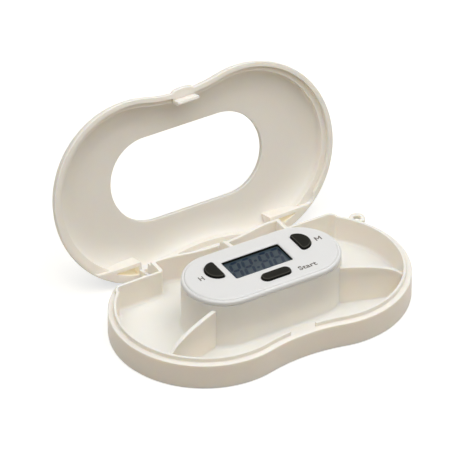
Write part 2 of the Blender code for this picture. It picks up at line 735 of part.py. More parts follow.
def build_cover():
    """The white cover of the timer, with its display opening, button holes, posts and bosses."""
    face_radius = COVER_RADIUS - FACE_INSET
    cover = loft(
        "timer_cover",
        (stadium(COVER_HALF, COVER_RADIUS), COVER_FOOT_Z),
        (stadium(COVER_HALF, COVER_RADIUS), COVER_FOOT_Z + COVER_SIDE),
        (stadium(COVER_HALF, COVER_RADIUS - COVER_EDGE), LEDGE_Z),
        (stadium(COVER_HALF, face_radius + GROOVE), LEDGE_Z),
        (stadium(COVER_HALF, face_radius), LEDGE_Z - GROOVE),
        (stadium(COVER_HALF, face_radius), FACE_Z - GROOVE),
        (stadium(COVER_HALF, face_radius - GROOVE), FACE_Z),
    )
    skirt_z = COVER_FOOT_Z - SKIRT_DROP
    join(cover, prism("skirt", stadium(COVER_HALF, SKIRT_RADIUS), skirt_z, PLATE_Z))
    cut(cover, prism("inside", stadium(COVER_HALF, SKIRT_INNER), skirt_z - OVERRUN, PLATE_Z))
    inside_plate_z = PLATE_Z + PLATE / 2
    for way in (-1, 1):
        post = circle(way * POST_X, POST_Y, POST_RADIUS)
        join(cover, prism("post", post, BASE_PLATE + SEAT_GAP, inside_plate_z))
        pilot = circle(way * POST_X, POST_Y, COVER_SCREW_RADIUS + RUN_GAP)
        cut(cover, prism("pilot", pilot, 0, BASE_PLATE + COVER_SCREW_REACH + SEAT_GAP))
    for x, y in boss_places().values():
        join(cover, prism("boss", circle(x, y, BOSS_RADIUS), BOARD_TOP_Z + SEAT_GAP, inside_plate_z))
        pilot = circle(x, y, BOARD_SCREW_RADIUS + RUN_GAP)
        cut(cover, prism("pilot", pilot, BOARD_Z, BOARD_TOP_Z + BOARD_SCREW_REACH + SEAT_GAP))
    grow = 2 * (FRAME_WALL + SEAT_GAP)
    opening = rounded_box(DISPLAY_X, DISPLAY_Y, DISPLAY_LENGTH, DISPLAY_WIDTH, DISPLAY_CORNER)
    seat = rounded_box(
        DISPLAY_X, DISPLAY_Y, DISPLAY_LENGTH + grow, DISPLAY_WIDTH + grow, DISPLAY_CORNER + FRAME_WALL
    )
    cut(
        cover,
        prism("display opening", opening, PLATE_Z - OVERRUN, FACE_Z + OVERRUN),
        prism("frame seat", seat, PLATE_Z - OVERRUN, FACE_Z - THIN_EDGE),
    )
    for plan in (hour_plan, minute_plan, start_plan):
        cut(cover, prism("button hole", plan(BUTTON_GAP), PLATE_Z - OVERRUN, FACE_Z + OVERRUN))
    return cover


def build_base_plate():
    """The plate that closes the timer from below, with the battery cup and the buzzer seat."""
    plate = prism("timer_base", stadium(COVER_HALF, BASE_RADIUS), 0, BASE_PLATE)
    inside_plate_z = BASE_PLATE / 2
    join(
        plate,
        prism("cup", circle(CUP_X, 0, CUP_RADIUS), inside_plate_z, CUP_TOP_Z),
        prism("buzzer wall", circle(BUZZER_X, 0, BUZZER_RADIUS + SEAT_GAP + BUZZER_WALL),
              inside_plate_z, BASE_PLATE + BUZZER_STEP + BUZZER_WALL_HEIGHT),
    )
    high = CUP_TOP_Z + OVERRUN
    recess_radius = DOOR_RADIUS + SEAT_GAP
    cut(
        plate,
        prism("door recess", circle(CUP_X, 0, recess_radius), -OVERRUN, DOOR_RECESS),
        prism("hub hole", circle(CUP_X, 0, HUB_RADIUS + SEAT_GAP), -OVERRUN, BASE_PLATE + OVERRUN / 2),
        prism("lug bore", circle(CUP_X, 0, LUG_BORE), BASE_PLATE, CELL_Z + SEAT_GAP),
        prism("cell bore", circle(CUP_X, 0, CUP_BORE), BASE_PLATE, high),
    )
    notch = block(
        "notch",
        (-LUG_BORE, -LUG_WIDTH / 2 - SEAT_GAP, 0),
        (LUG_BORE, LUG_WIDTH / 2 + SEAT_GAP, BASE_PLATE + SEAT_GAP),
    )
    notch.data.transform(Matrix.Translation((CUP_X, 0, 0)) @ Matrix.Rotation(LUG_TURN, 4, "Z"))
    cut(plate, notch)
    slot_x = CUP_X - CELL_RADIUS - SEAT_GAP / 2
    slot_width = CONTACT_WIDTH / 2 + CONTACT_SLOT_GAP
    slot_low = (CUP_X - CUP_RADIUS - OVERRUN, -slot_width, CELL_Z + POSITIVE_FOOT_LIFT - SEAT_GAP)
    cut(plate, block("contact slot", slot_low, (slot_x, slot_width, high)))
    seat_z = BASE_PLATE + BUZZER_STEP
    cut(
        plate,
        prism("buzzer seat", circle(BUZZER_X, 0, BUZZER_RADIUS + SEAT_GAP), seat_z, high),
        prism("buzzer room", circle(BUZZER_X, 0, BUZZER_RADIUS - BUZZER_LEDGE), BASE_PLATE, high),
    )
    for i in range(SOUND_COUNT):
        turn = 2 * math.pi * i / SOUND_COUNT
        x = BUZZER_X + SOUND_CIRCLE * math.cos(turn)
        hole = circle(x, SOUND_CIRCLE * math.sin(turn), SOUND_HOLE, ROUND_STEPS // 2)
        cut(plate, prism("sound hole", hole, -OVERRUN, BASE_PLATE + OVERRUN))
    sink = HEAD_SINK + COVER_SCREW_HEAD_HEIGHT + SEAT_GAP
    for way in (-1, 1):
        head = circle(way * POST_X, POST_Y, COVER_SCREW_HEAD + SEAT_GAP)
        hole = circle(way * POST_X, POST_Y, COVER_SCREW_RADIUS + SEAT_GAP)
        cut(
            plate,
            prism("head seat", head, -OVERRUN, sink),
            prism("screw hole", hole, -OVERRUN, BASE_PLATE + OVERRUN),
        )
    return plate


def build_door():
    """The round battery door: a disc with a coin slot, a hub and two lugs above the plate."""
    hub_top = CELL_Z - SEAT_GAP
    door = prism("battery_door", circle(CUP_X, 0, DOOR_RADIUS), DOOR_SINK, DOOR_RECESS - SEAT_GAP)
    join(door, prism("hub", circle(CUP_X, 0, HUB_RADIUS), (DOOR_SINK + DOOR_RECESS) / 2, hub_top))
    reach = HUB_RADIUS + LUG_OUT
    lug_low = (CUP_X - reach, -LUG_WIDTH / 2, hub_top - LUG_THICKNESS)
    join(door, block("lugs", lug_low, (CUP_X + reach, LUG_WIDTH / 2, hub_top)))
    slot_low = (CUP_X - COIN_SLOT_WIDTH / 2, -COIN_SLOT_LENGTH / 2, 0)
    slot_high = (CUP_X + COIN_SLOT_WIDTH / 2, COIN_SLOT_LENGTH / 2, DOOR_SINK + COIN_SLOT_DEPTH)
    cut(door, block("coin slot", slot_low, slot_high))
    return door


def build_cell():
    """The button cell: a wide can below and a smaller cap above."""
    top = CELL_Z + CELL_HEIGHT
    step = CELL_EDGE
    return loft(
        "battery_cell",
        (circle(CUP_X, 0, CELL_RADIUS - step), CELL_Z),
        (circle(CUP_X, 0, CELL_RADIUS), CELL_Z + step),
        (circle(CUP_X, 0, CELL_RADIUS), top - 2 * step),
        (circle(CUP_X, 0, CELL_RADIUS - step), top - step),
        (circle(CUP_X, 0, CELL_RADIUS - 2 * step), top - step),
        (circle(CUP_X, 0, CELL_RADIUS - 2 * step), top),
    )


def build_contacts():
    """The two bent strips between the cell and the board."""
    top = BOARD_Z - SEAT_GAP
    foot_z = CELL_Z + CELL_HEIGHT + SEAT_GAP
    start = CUP_X - FOOT_LENGTH / 2
    stop = CUP_X + FOOT_LENGTH / 2
    tab_z = top - CONTACT
    negative = [
        (start, foot_z),
        (stop + CONTACT, foot_z),
        (stop + CONTACT, tab_z),
        (stop + SOLDER_TAB, tab_z),
        (stop + SOLDER_TAB, top),
        (stop, top),
        (stop, foot_z + CONTACT),
        (start, foot_z + CONTACT),
    ]
    face = CUP_X - CELL_RADIUS - SEAT_GAP
    low = CELL_Z + POSITIVE_FOOT_LIFT
    positive = [
        (face - CONTACT, low),
        (face, low),
        (face, tab_z),
        (face + SOLDER_TAB, tab_z),
        (face + SOLDER_TAB, top),
        (face - CONTACT, top),
    ]
    half = CONTACT_WIDTH / 2
    return (
        rail("contact_negative", negative, -half, half),
        rail("contact_positive", positive, -half, half),
    )


def build_button(name, plan):
    """A button: rounded cap, flange under the cover, plunger above its switch dome."""
    top = FACE_Z + BUTTON_PROUD
    flange_z = FLANGE_TOP_Z - BUTTON_FLANGE
    button = loft(
        name,
        (plan(FLANGE_OUT), flange_z),
        (plan(FLANGE_OUT), FLANGE_TOP_Z),
        (plan(0), FLANGE_TOP_Z),
        (plan(0), top - CAP_EDGE),
        (plan(-CAP_EDGE / 3), top - CAP_EDGE / 3),
        (plan(-CAP_EDGE), top),
    )
    x, y = switch_place(plan)
    tip_z = DOME_TOP_Z + BUTTON_TRAVEL + BUTTON_GAP
    join(button, prism("plunger", circle(x, y, PLUNGER_RADIUS), tip_z, flange_z + BUTTON_FLANGE / 2))
    return button


def switch_place(plan):
    """The middle of a button, where its switch lies."""
    outline = plan(0)
    across = [x for x, _ in outline]
    along = [y for _, y in outline]
    return (min(across) + max(across)) / 2, (min(along) + max(along)) / 2


def bulge(name, x, y, radius, base_z, height):
    """A low dome that rises, or with a negative height hangs, from its base."""
    layers = [(circle(x, y, radius * wide), base_z + height * up) for wide, up in BULGE_SHARES]
    return loft(name, *layers)


def build_switch_dome(name, plan):
    """The snap dome on the board under a button."""
    x, y = switch_place(plan)
    low = BOARD_TOP_Z + SEAT_GAP
    return bulge(name, x, y, DOME_RADIUS, low, DOME_HEIGHT)


def build_board():
    """The circuit board, notched round the cover's posts and drilled for its screws."""
    board = prism("circuit_board", stadium(BOARD_HALF, BOARD_RADIUS), BOARD_Z, BOARD_TOP_Z)
    for way in (-1, 1):
        notch = circle(way * POST_X, POST_Y, POST_RADIUS + SEAT_GAP)
        cut(board, prism("notch", notch, BOARD_Z - OVERRUN, BOARD_TOP_Z + OVERRUN))
    for x, y in boss_places().values():
        hole = circle(x, y, BOARD_SCREW_RADIUS + SEAT_GAP)
        cut(board, prism("hole", hole, BOARD_Z - OVERRUN, BOARD_TOP_Z + OVERRUN))
    return board


def build_display(black, glass, grey):
    """The display frame, the display glass and its two rubber connectors."""
    wall = 2 * FRAME_WALL
    outer = rounded_box(
        DISPLAY_X, DISPLAY_Y, DISPLAY_LENGTH + wall, DISPLAY_WIDTH + wall, DISPLAY_CORNER + FRAME_WALL
    )
    inner = rounded_box(DISPLAY_X, DISPLAY_Y, DISPLAY_LENGTH, DISPLAY_WIDTH, DISPLAY_CORNER)
    frame = prism("display_frame", outer, FRAME_Z, FRAME_TOP_Z)
    cut(frame, prism("view", inner, FRAME_Z - OVERRUN, FRAME_TOP_Z + OVERRUN))
    finish(frame, black)
    length = DISPLAY_LENGTH + 2 * GLASS_BORDER
    width = DISPLAY_WIDTH + 2 * GLASS_BORDER
    pane = rounded_box(DISPLAY_X, DISPLAY_Y, length, width, DISPLAY_CORNER)
    finish(prism("display_glass", pane, GLASS_Z, GLASS_TOP_Z), glass)
    strip = length / 2 - ZEBRA_SHORT
    middle = width / 2 - ZEBRA_BORDER - ZEBRA_WIDTH / 2
    for name, way in (("connector_front", -1), ("connector_rear", 1)):
        y = DISPLAY_Y + way * middle
        low = (DISPLAY_X - strip, y - ZEBRA_WIDTH / 2, BOARD_TOP_Z + SEAT_GAP)
        high = (DISPLAY_X + strip, y + ZEBRA_WIDTH / 2, GLASS_Z - SEAT_GAP)
        finish(block(name, low, high), grey)


def build_wire(name, side, material):
    """A wire from the buzzer up to the board."""
    start = Vector((BUZZER_X, side * WIRE_SPACING, BASE_PLATE + BUZZER_STEP + SEAT_GAP))
    start.z += BUZZER_PLATE + SEAT_GAP + CERAMIC + SEAT_GAP
    stop = Vector((BUZZER_X - WIRE_BOW, side * WIRE_SPACING, BOARD_Z - SEAT_GAP))
    lift = Vector((0, 0, (stop.z - start.z) / 2))
    sway = Vector((WIRE_BOW, side * WIRE_BOW, 0))
    points = []
    for i in range(WIRE_STEPS + 1):
        t = i / WIRE_STEPS
        near = start * (1 - t) ** 3 + (start + lift) * 3 * t * (1 - t) ** 2
        far = (stop - lift + sway) * 3 * t**2 * (1 - t) + stop * t**3
        points.append(near + far)
    curve = bpy.data.curves.new(name, "CURVE")
    curve.dimensions = "3D"
    curve.bevel_depth = WIRE_RADIUS
    curve.bevel_resolution = 1
    curve.use_fill_caps = True
    spline = curve.splines.new("POLY")
    spline.points.add(len(points) - 1)
    for spot, point in zip(spline.points, points):
        spot.co = (*point, 1)
    curve.materials.append(material)
    wire = bpy.data.objects.new(name, curve)
    bpy.context.collection.objects.link(wire)
    return wire


def build_board_parts(black, steel, gold):
    """The chip, the crystal and the snap domes."""
    low = BOARD_Z - SEAT_GAP
    finish(bulge("chip_blob", CHIP_X, CHIP_Y, CHIP_RADIUS, low, -CHIP_HEIGHT), black)
    can = circle(CRYSTAL_Y, low - CRYSTAL_RADIUS, CRYSTAL_RADIUS)
    half = CRYSTAL_LENGTH / 2
    finish(bar("crystal", can, CRYSTAL_X - half, CRYSTAL_X + half), steel)
    for name, plan in (("hour", hour_plan), ("minute", minute_plan), ("start", start_plan)):
        finish(build_switch_dome(f"snap_dome_{name}", plan), gold)


def build_buzzer(brass, ceramic):
    """The buzzer's brass disc and the ceramic disc bonded to it."""
    low = BASE_PLATE + BUZZER_STEP + SEAT_GAP
    disc = prism("buzzer_disc", circle(BUZZER_X, 0, BUZZER_RADIUS), low, low + BUZZER_PLATE)
    finish(disc, brass)
    low += BUZZER_PLATE + RUN_GAP
    finish(prism("buzzer_ceramic", circle(BUZZER_X, 0, CERAMIC_RADIUS), low, low + CERAMIC), ceramic)


def build_pins(steel):
    """The two hinge pins."""
    for name, way in (("hinge_pin_left", -1), ("hinge_pin_right", 1)):
        low_x, high_x = side_span(way, POCKET_X - PIN_BED + RUN_GAP, CHEEK_X + CHEEK)
        pin = bar(name, circle(AXIS_Y, AXIS_Z, PIN_RADIUS), low_x, high_x)
        finish(pin, steel, ((low_x + high_x) / 2, AXIS_Y, AXIS_Z))


def main():
    """Builds every piece at its place, with the lid open."""
    clear_scene()
    ivory = plastic("ivory plastic", (0.80, 0.74, 0.66), 0.42)
    white = plastic("white plastic", (0.82, 0.81, 0.79), 0.38)
    black = plastic("black plastic", (0.03, 0.028, 0.024), 0.45)
    grey = plastic("grey rubber", (0.25, 0.25, 0.26), 0.7)
    glass = plastic("display glass", (0.09, 0.12, 0.16), 0.15)
    green = plastic("circuit board green", (0.03, 0.16, 0.07), 0.4)
    steel = plastic("steel", (0.62, 0.62, 0.62), 0.3, 1.0)
    brass = plastic("brass", (0.72, 0.52, 0.22), 0.3, 1.0)
    gold = plastic("gilt steel", (0.78, 0.66, 0.4), 0.25, 1.0)
    ceramic = plastic("ceramic", (0.75, 0.73, 0.68), 0.5)
    red = plastic("red wire cover", (0.5, 0.03, 0.02), 0.5)
    finish(build_tray(), ivory)
    finish(build_lid(), ivory, (0, AXIS_Y, AXIS_Z), (-OPEN_ANGLE, 0, 0))
    build_pins(steel)
    finish(build_cover(), white)
    finish(build_base_plate(), ivory)
    finish(build_door(), ivory, (CUP_X, 0, 0))
    finish(build_cell(), steel)
    for contact in build_contacts():
        finish(contact, gold)
    build_display(black, glass, grey)
    for name, plan in (("hour", hour_plan), ("minute", minute_plan), ("start", start_plan)):
        finish(build_button(f"button_{name}", plan), black)
    finish(build_board(), green)
    build_board_parts(black, steel, gold)
    build_buzzer(brass, ceramic)
    build_wire("buzzer_wire_red", 1, red)
    build_wire("buzzer_wire_black", -1, black)
    head_z = HEAD_SINK
    for name, way in (("cover_screw_left", -1), ("cover_screw_right", 1)):
        reach = BASE_PLATE + COVER_SCREW_REACH
        made = screw(name, way * POST_X, POST_Y, head_z, COVER_SCREW_HEAD,
                     COVER_SCREW_HEAD_HEIGHT, COVER_SCREW_RADIUS, reach)
        finish(made, steel)
    head_z = BOARD_Z - SEAT_GAP - BOARD_SCREW_HEAD_HEIGHT
    for name, (x, y) in boss_places().items():
        made = screw(f"board_screw_{name}", x, y, head_z, BOARD_SCREW_HEAD,
                     BOARD_SCREW_HEAD_HEIGHT, BOARD_SCREW_RADIUS, BOARD_TOP_Z + BOARD_SCREW_REACH)
        finish(made, steel)


main()
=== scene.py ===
"""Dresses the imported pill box: smooth mouldings, the display, the printing and a plain studio.

Metres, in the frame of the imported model: +X along the box, +Y to the hinge, +Z up.
"""

import logging
import math
from contextlib import contextmanager
from dataclasses import dataclass, field
from enum import Enum
from typing import Callable, Iterator, Sequence, Union

import bmesh
import bpy
from mathutils import Matrix, Vector


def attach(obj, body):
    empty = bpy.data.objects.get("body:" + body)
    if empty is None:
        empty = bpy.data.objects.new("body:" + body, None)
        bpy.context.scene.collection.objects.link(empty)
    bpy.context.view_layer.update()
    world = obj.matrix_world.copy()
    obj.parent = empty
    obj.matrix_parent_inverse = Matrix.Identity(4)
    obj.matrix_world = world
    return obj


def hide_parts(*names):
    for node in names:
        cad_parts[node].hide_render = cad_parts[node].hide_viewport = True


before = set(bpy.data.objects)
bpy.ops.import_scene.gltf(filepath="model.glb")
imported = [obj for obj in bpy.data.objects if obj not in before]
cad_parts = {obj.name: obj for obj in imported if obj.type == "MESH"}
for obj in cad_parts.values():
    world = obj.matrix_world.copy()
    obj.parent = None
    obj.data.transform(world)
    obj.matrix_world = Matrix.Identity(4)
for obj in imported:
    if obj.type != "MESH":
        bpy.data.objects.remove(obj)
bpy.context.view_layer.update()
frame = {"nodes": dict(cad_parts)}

log = logging.getLogger("pill_box")

Plan = list[tuple[float, float]]
Layers = list[tuple[Plan, float]]
Ring = list[tuple[float, float, float]]
Colour = tuple[float, float, float]

QUARTER = math.pi / 2
OVERRUN = 0.003
CREASE = math.radians(32)
WELD = 1e-7
# The share of half a side that a fillet may take up without closing on itself.
NEARLY_ALL = 0.9999


# Outlines.


def arc(x: float, y: float, radius: float, start: float, stop: float, steps: int) -> Plan:
    """Points on an arc, both ends included.

    Args:
        x, y: Centre.
        radius: Radius.
        start, stop: First and last angle, in radians.
        steps: Number of steps.

    Returns:
        The points.
    """
    turn = (stop - start) / steps
    return [
        (x + radius * math.cos(start + turn * i), y + radius * math.sin(start + turn * i))
        for i in range(steps + 1)
    ]


def circle(x: float, y: float, radius: float, steps: int = 48) -> Plan:
    """A round outline about (x, y)."""
    return arc(x, y, radius, 0, 2 * math.pi, steps)[:-1]


def rounded_box(x: float, y: float, length: float, width: float, corner: float, steps: int = 8) -> Plan:
    """A rectangle with rounded corners.

    Args:
        x, y: Centre.
        length, width: Sizes along X and Y.
        corner: Radius of its corners.
        steps: Steps of each corner.

    Returns:
        The outline, counter-clockwise.
    """
    points: Plan = []
    for turn, (side_x, side_y) in enumerate(((1, -1), (1, 1), (-1, 1), (-1, -1))):
        corner_x = x + side_x * (length / 2 - corner)
        corner_y = y + side_y * (width / 2 - corner)
        start = (turn - 1) * QUARTER
        points += arc(corner_x, corner_y, corner, start, start + QUARTER, steps)
    return points


def mirrored(right_half: Plan) -> Plan:
    """Closes an outline from its right half, which runs from the front centre to the back centre."""
    return right_half + [(-x, y) for x, y in reversed(right_half[1:-1])]


def rounding(radius: float, steps: int = 5) -> list[tuple[float, float]]:
    """A quarter round.

    Args:
        radius: Radius of the edge.
        steps: Number of steps.

    Returns:
        Pairs of how far in and how far along, from the side of the edge to its end.
    """
    turns = [QUARTER * i / steps for i in range(steps + 1)]
    return [(radius * (1 - math.cos(turn)), radius * math.sin(turn)) for turn in turns]


def upper_edge(plan: Callable[[float], Plan], top: float, edge: float, steps: int = 5) -> Layers:
    """Layers that round an upper edge.

    Args:
        plan: Gives the outline that far inside the side.
        top: Height of the top.
        edge: Radius of the edge.
        steps: Steps of the edge.

    Returns:
        The (outline, height) layers, upwards.
    """
    return [(plan(inn), top - edge + along) for inn, along in rounding(edge, steps)]


def lower_edge(plan: Callable[[float], Plan], low: float, edge: float, steps: int = 5) -> Layers:
    """Layers that round a lower edge, upwards; the values are those of upper_edge."""
    return [(plan(inn), low + edge - along) for inn, along in reversed(rounding(edge, steps))]


def side_span(way: int, near: float, far: float) -> tuple[float, float]:
    """Low and high X of a span on the left (-1) or right (1) side."""
    return min(way * near, way * far), max(way * near, way * far)


# Solids.


@contextmanager
def editing(mesh: bpy.types.Mesh) -> Iterator[bmesh.types.BMesh]:
    """Opens a mesh for changes and writes them back."""
    made = bmesh.new()
    made.from_mesh(mesh)
    yield made
    made.to_mesh(mesh)
    made.free()


def added(name: str, data: bpy.types.ID) -> bpy.types.Object:
    """A new object of that data, in the scene."""
    made = bpy.data.objects.new(name, data)
    bpy.context.scene.collection.objects.link(made)
    return made


def evaluated(made: bpy.types.Object) -> bpy.types.Mesh:
    """A new mesh of what an object looks like with its modifiers."""
    graph = bpy.context.evaluated_depsgraph_get()
    return bpy.data.meshes.new_from_object(made.evaluated_get(graph))


def settle(made: bpy.types.Object) -> None:
    """Makes what an object's modifiers give its own mesh, and removes them."""
    mesh = evaluated(made)
    made.modifiers.clear()
    made.data = mesh


class Solid:
    """A closed mesh while it is being shaped."""

    def __init__(self, name: str, made: bpy.types.Object) -> None:
        """Takes an object whose place is in its mesh."""
        self.name = name
        self.made = made

    @classmethod
    def through(cls, name: str, rings: Sequence[Ring]) -> "Solid":
        """A closed solid through rings of equal count, capped at both ends.

        Args:
            name: Its name.
            rings: The rings, in order.

        Returns:
            The solid.
        """
        mesh = bpy.data.meshes.new(name)
        with editing(mesh) as made:
            loops = [[made.verts.new(point) for point in ring] for ring in rings]
            count = len(loops[0])
            for low, high in zip(loops, loops[1:]):
                for i in range(count):
                    j = (i + 1) % count
                    made.faces.new((low[i], low[j], high[j], high[i]))
            made.faces.new(loops[0][::-1])
            made.faces.new(loops[-1])
            bmesh.ops.recalc_face_normals(made, faces=made.faces)
        return cls(name, added(name, mesh))

    @classmethod
    def loft(cls, name: str, *layers: tuple[Plan, float]) -> "Solid":
        """A solid through flat outlines, each with its own height."""
        return cls.through(name, [[(x, y, z) for x, y in outline] for outline, z in layers])

    @classmethod
    def prism(cls, name: str, outline: Plan, low_z: float, high_z: float) -> "Solid":
        """A straight solid over one outline."""
        return cls.loft(name, (outline, low_z), (outline, high_z))

    @classmethod
    def bar(cls, name: str, profile: Plan, start_x: float, stop_x: float) -> "Solid":
        """A straight solid along X over a profile of (y, z) points."""
        return cls.through(name, [[(x, y, z) for y, z in profile] for x in (start_x, stop_x)])

    @classmethod
    def block(cls, name: str, low: Sequence[float], high: Sequence[float]) -> "Solid":
        """A box between two corners."""
        outline = [(low[0], low[1]), (high[0], low[1]), (high[0], high[1]), (low[0], high[1])]
        return cls.prism(name, outline, low[2], high[2])

    def _combine(self, other: "Solid", operation: str) -> None:
        """Joins, cuts or crosses this solid with another one, which is used up."""
        modifier = self.made.modifiers.new(operation, "BOOLEAN")
        modifier.object = other.made
        modifier.operation = operation
        modifier.solver = "EXACT"
        settle(self.made)
        bpy.data.objects.remove(other.made)

    def join(self, *others: "Solid") -> "Solid":
        """Unites others with this solid and returns it."""
        for other in others:
            self._combine(other, "UNION")
        return self

    def cut(self, *others: "Solid") -> "Solid":
        """Takes others out of this solid and returns it."""
        for other in others:
            self._combine(other, "DIFFERENCE")
        return self

    def keep(self, other: "Solid") -> "Solid":
        """Keeps what this solid shares with another one and returns it."""
        self._combine(other, "INTERSECT")
        return self

    def placed(self, matrix: Matrix) -> "Solid":
        """Moves the mesh by a matrix and returns the solid."""
        self.made.data.transform(matrix)
        return self

    def outward(self) -> "Solid":
        """Turns every face outwards and returns the solid."""
        with editing(self.made.data) as made:
            bmesh.ops.remove_doubles(made, verts=made.verts, dist=WELD)
            bmesh.ops.recalc_face_normals(made, faces=made.faces)
        return self

    def united(self) -> "Solid":
        """Unites the parts that cross one another, by a cut with a block far away, and returns the solid."""
        away = Solid.block("away", (1, 1, 1), (1.001, 1.001, 1.001))
        modifier = self.made.modifiers.new("unite", "BOOLEAN")
        modifier.object = away.made
        modifier.operation = "DIFFERENCE"
        modifier.solver = "EXACT"
        modifier.use_self = True
        settle(self.made)
        bpy.data.objects.remove(away.made)
        return self

    def released(self) -> bpy.types.Mesh:
        """The bare mesh, without its object."""
        mesh = self.made.data
        bpy.data.objects.remove(self.made)
        return mesh

    def dress(self, material: bpy.types.Material, body: str, slot: str, *nodes: str) -> bpy.types.Object:
        """Cleans and shades the mesh, and hangs the piece on its body.

        Args:
            material: Its finish.
            body: The body that it rides on.
            slot: Not used.
            nodes: The CAD nodes that it stands for.

        Returns:
            The finished piece.
        """
        mesh = self.made.data
        with editing(mesh) as made:
            bmesh.ops.remove_doubles(made, verts=made.verts, dist=WELD)
            bmesh.ops.dissolve_degenerate(made, edges=made.edges, dist=WELD)
        mesh.materials.clear()
        mesh.materials.append(material)
        mesh.shade_smooth()
        mesh.set_sharp_from_angle(angle=CREASE)
        self.made.modifiers.new("weigh", "WEIGHTED_NORMAL").keep_sharp = True
        settle(self.made)
        self.made.name = self.name
        return present(self.made, body, slot, *nodes)


def present(piece: bpy.types.Object, body: str, slot: str, *nodes: str) -> bpy.types.Object:
    """Hangs a piece on the empty of its body, hides the CAD nodes that it stands for and logs it."""
    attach(piece, body)
    if nodes:
        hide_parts(*nodes)
    log.info("%s: %d faces on %s", piece.name, len(piece.data.polygons), body)
    return piece


# Shader graphs.


Value = Union["Wire", float, int, tuple, str]


class Wire:
    """A node's output, with arithmetic that adds Math nodes."""

    def __init__(self, graph: "Graph", socket: bpy.types.NodeSocket) -> None:
        """Wraps one output socket of a graph."""
        self.graph = graph
        self.socket = socket

    def _math(self, operation: str, left: Value, right: Value) -> "Wire":
        """Adds a Math node for two values."""
        return self.graph.node("ShaderNodeMath", {"operation": operation}, {0: left, 1: right})

    def __add__(self, other: Value) -> "Wire":
        """Sum."""
        return self._math("ADD", self, other)

    def __radd__(self, other: Value) -> "Wire":
        """Sum, reflected."""
        return self._math("ADD", other, self)

    def __sub__(self, other: Value) -> "Wire":
        """Difference."""
        return self._math("SUBTRACT", self, other)

    def __mul__(self, other: Value) -> "Wire":
        """Product."""
        return self._math("MULTIPLY", self, other)

    def __rmul__(self, other: Value) -> "Wire":
        """Product, reflected."""
        return self._math("MULTIPLY", other, self)

    def __truediv__(self, other: Value) -> "Wire":
        """Quotient."""
        return self._math("DIVIDE", self, other)

    def __gt__(self, other: Value) -> "Wire":
        """1 where this is greater, else 0."""
        return self._math("GREATER_THAN", self, other)

    def __lt__(self, other: Value) -> "Wire":
        """1 where this is less, else 0."""
        return self._math("LESS_THAN", self, other)


class Graph:
    """The nodes of one material, world or geometry tree."""

    def __init__(self, tree: bpy.types.NodeTree) -> None:
        """Starts from an empty tree."""
        self.tree = tree
        tree.nodes.clear()

    def node(self, kind: str, settings: dict, values: dict, out: Union[int, str] = 0) -> Wire:
        """Adds a node.

        Args:
            kind: The node's type.
            settings: Its own settings, set first; "stops" gives a ramp's stops.
            values: Numbers or wires for its inputs, by name or number.
            out: Which output to return.

        Returns:
            The wire from that output.
        """
        made = self.tree.nodes.new(kind)
        for key, value in settings.items():
            if key == "stops":
                self._ramp(made.color_ramp.elements, value)
            else:
                setattr(made, key, value)
        for key, value in values.items():
            for each in value if isinstance(value, list) else [value]:
                if isinstance(each, Wire):
                    self.tree.links.new(each.socket, made.inputs[key])
                else:
                    made.inputs[key].default_value = each
        return Wire(self, made.outputs[out]) if len(made.outputs) else Wire(self, None)

    @staticmethod
    def _ramp(elements: bpy.types.bpy_prop_collection, stops: Sequence[tuple[float, float]]) -> None:
        """Sets a ramp's grey stops: (place, level)."""
        while len(elements) < len(stops):
            elements.new(0.5)
        for element, (place, level) in zip(elements, stops):
            element.position = place
            element.color = (level, level, level, 1)

    def place(self, turn: tuple = (0, 0, 0), size: tuple = (1, 1, 1)) -> Wire:
        """Object coordinates, turned and stretched."""
        here = self.node("ShaderNodeTexCoord", {}, {}, "Object")
        return self.node("ShaderNodeMapping", {}, {"Vector": here, "Rotation": turn, "Scale": size})

    def noise(self, grain: float, detail: float = 2.0, at: Union[Wire, None] = None) -> Wire:
        """Noise whose features are about that many metres wide, from 0 to 1."""
        values = {"Vector": at or self.place(), "Scale": 1 / grain, "Detail": detail}
        return self.node("ShaderNodeTexNoise", {}, values, "Fac")

    def blend(self, share: Value, low: Value, high: Value) -> Wire:
        """A mix of two colours, which are inputs 6 and 7 and output 2 of the Mix node."""
        low = (*low, 1) if isinstance(low, tuple) else low
        high = (*high, 1) if isinstance(high, tuple) else high
        return self.node("ShaderNodeMix", {"data_type": "RGBA"}, {0: share, 6: low, 7: high}, 2)

    def bump(self, height: Value, depth: float) -> Wire:
        """A bump of that depth in metres."""
        return self.node("ShaderNodeBump", {}, {"Height": height, "Distance": depth})

    def parts(self, vector: Wire) -> list[Wire]:
        """The three parts of a vector."""
        made = self.node("ShaderNodeSeparateXYZ", {}, {"Vector": vector}).socket.node
        return [Wire(self, socket) for socket in made.outputs]

    def largest(self, *values: Wire) -> Wire:
        """The largest of some numbers."""
        most = values[0]
        for value in values[1:]:
            most = self.node("ShaderNodeMath", {"operation": "MAXIMUM"}, {0: most, 1: value})
        return most

    def principled(self, values: dict) -> Wire:
        """The surface shader."""
        return self.node("ShaderNodeBsdfPrincipled", {}, values)


def new_material(name: str, paint: Callable[[Graph], Wire]) -> bpy.types.Material:
    """Makes a material whose surface the given function paints, once.

    Args:
        name: The finish's name.
        paint: Adds the nodes and returns the surface's wire.

    Returns:
        The material.
    """
    found = bpy.data.materials.get(name)
    if found:
        return found
    made = bpy.data.materials.new(name)
    made.use_nodes = True
    graph = Graph(made.node_tree)
    graph.node("ShaderNodeOutputMaterial", {}, {"Surface": paint(graph)})
    return made


@dataclass(frozen=True)
class Finish:
    """A finish: its name, and in the classes below how it is painted."""

    name: str

    def material(self) -> bpy.types.Material:
        """The material, built when it is first asked for."""
        return new_material(self.name, self._paint)

    def _paint(self, graph: Graph) -> Wire:
        """Adds the nodes and returns the surface's wire."""
        raise NotImplementedError


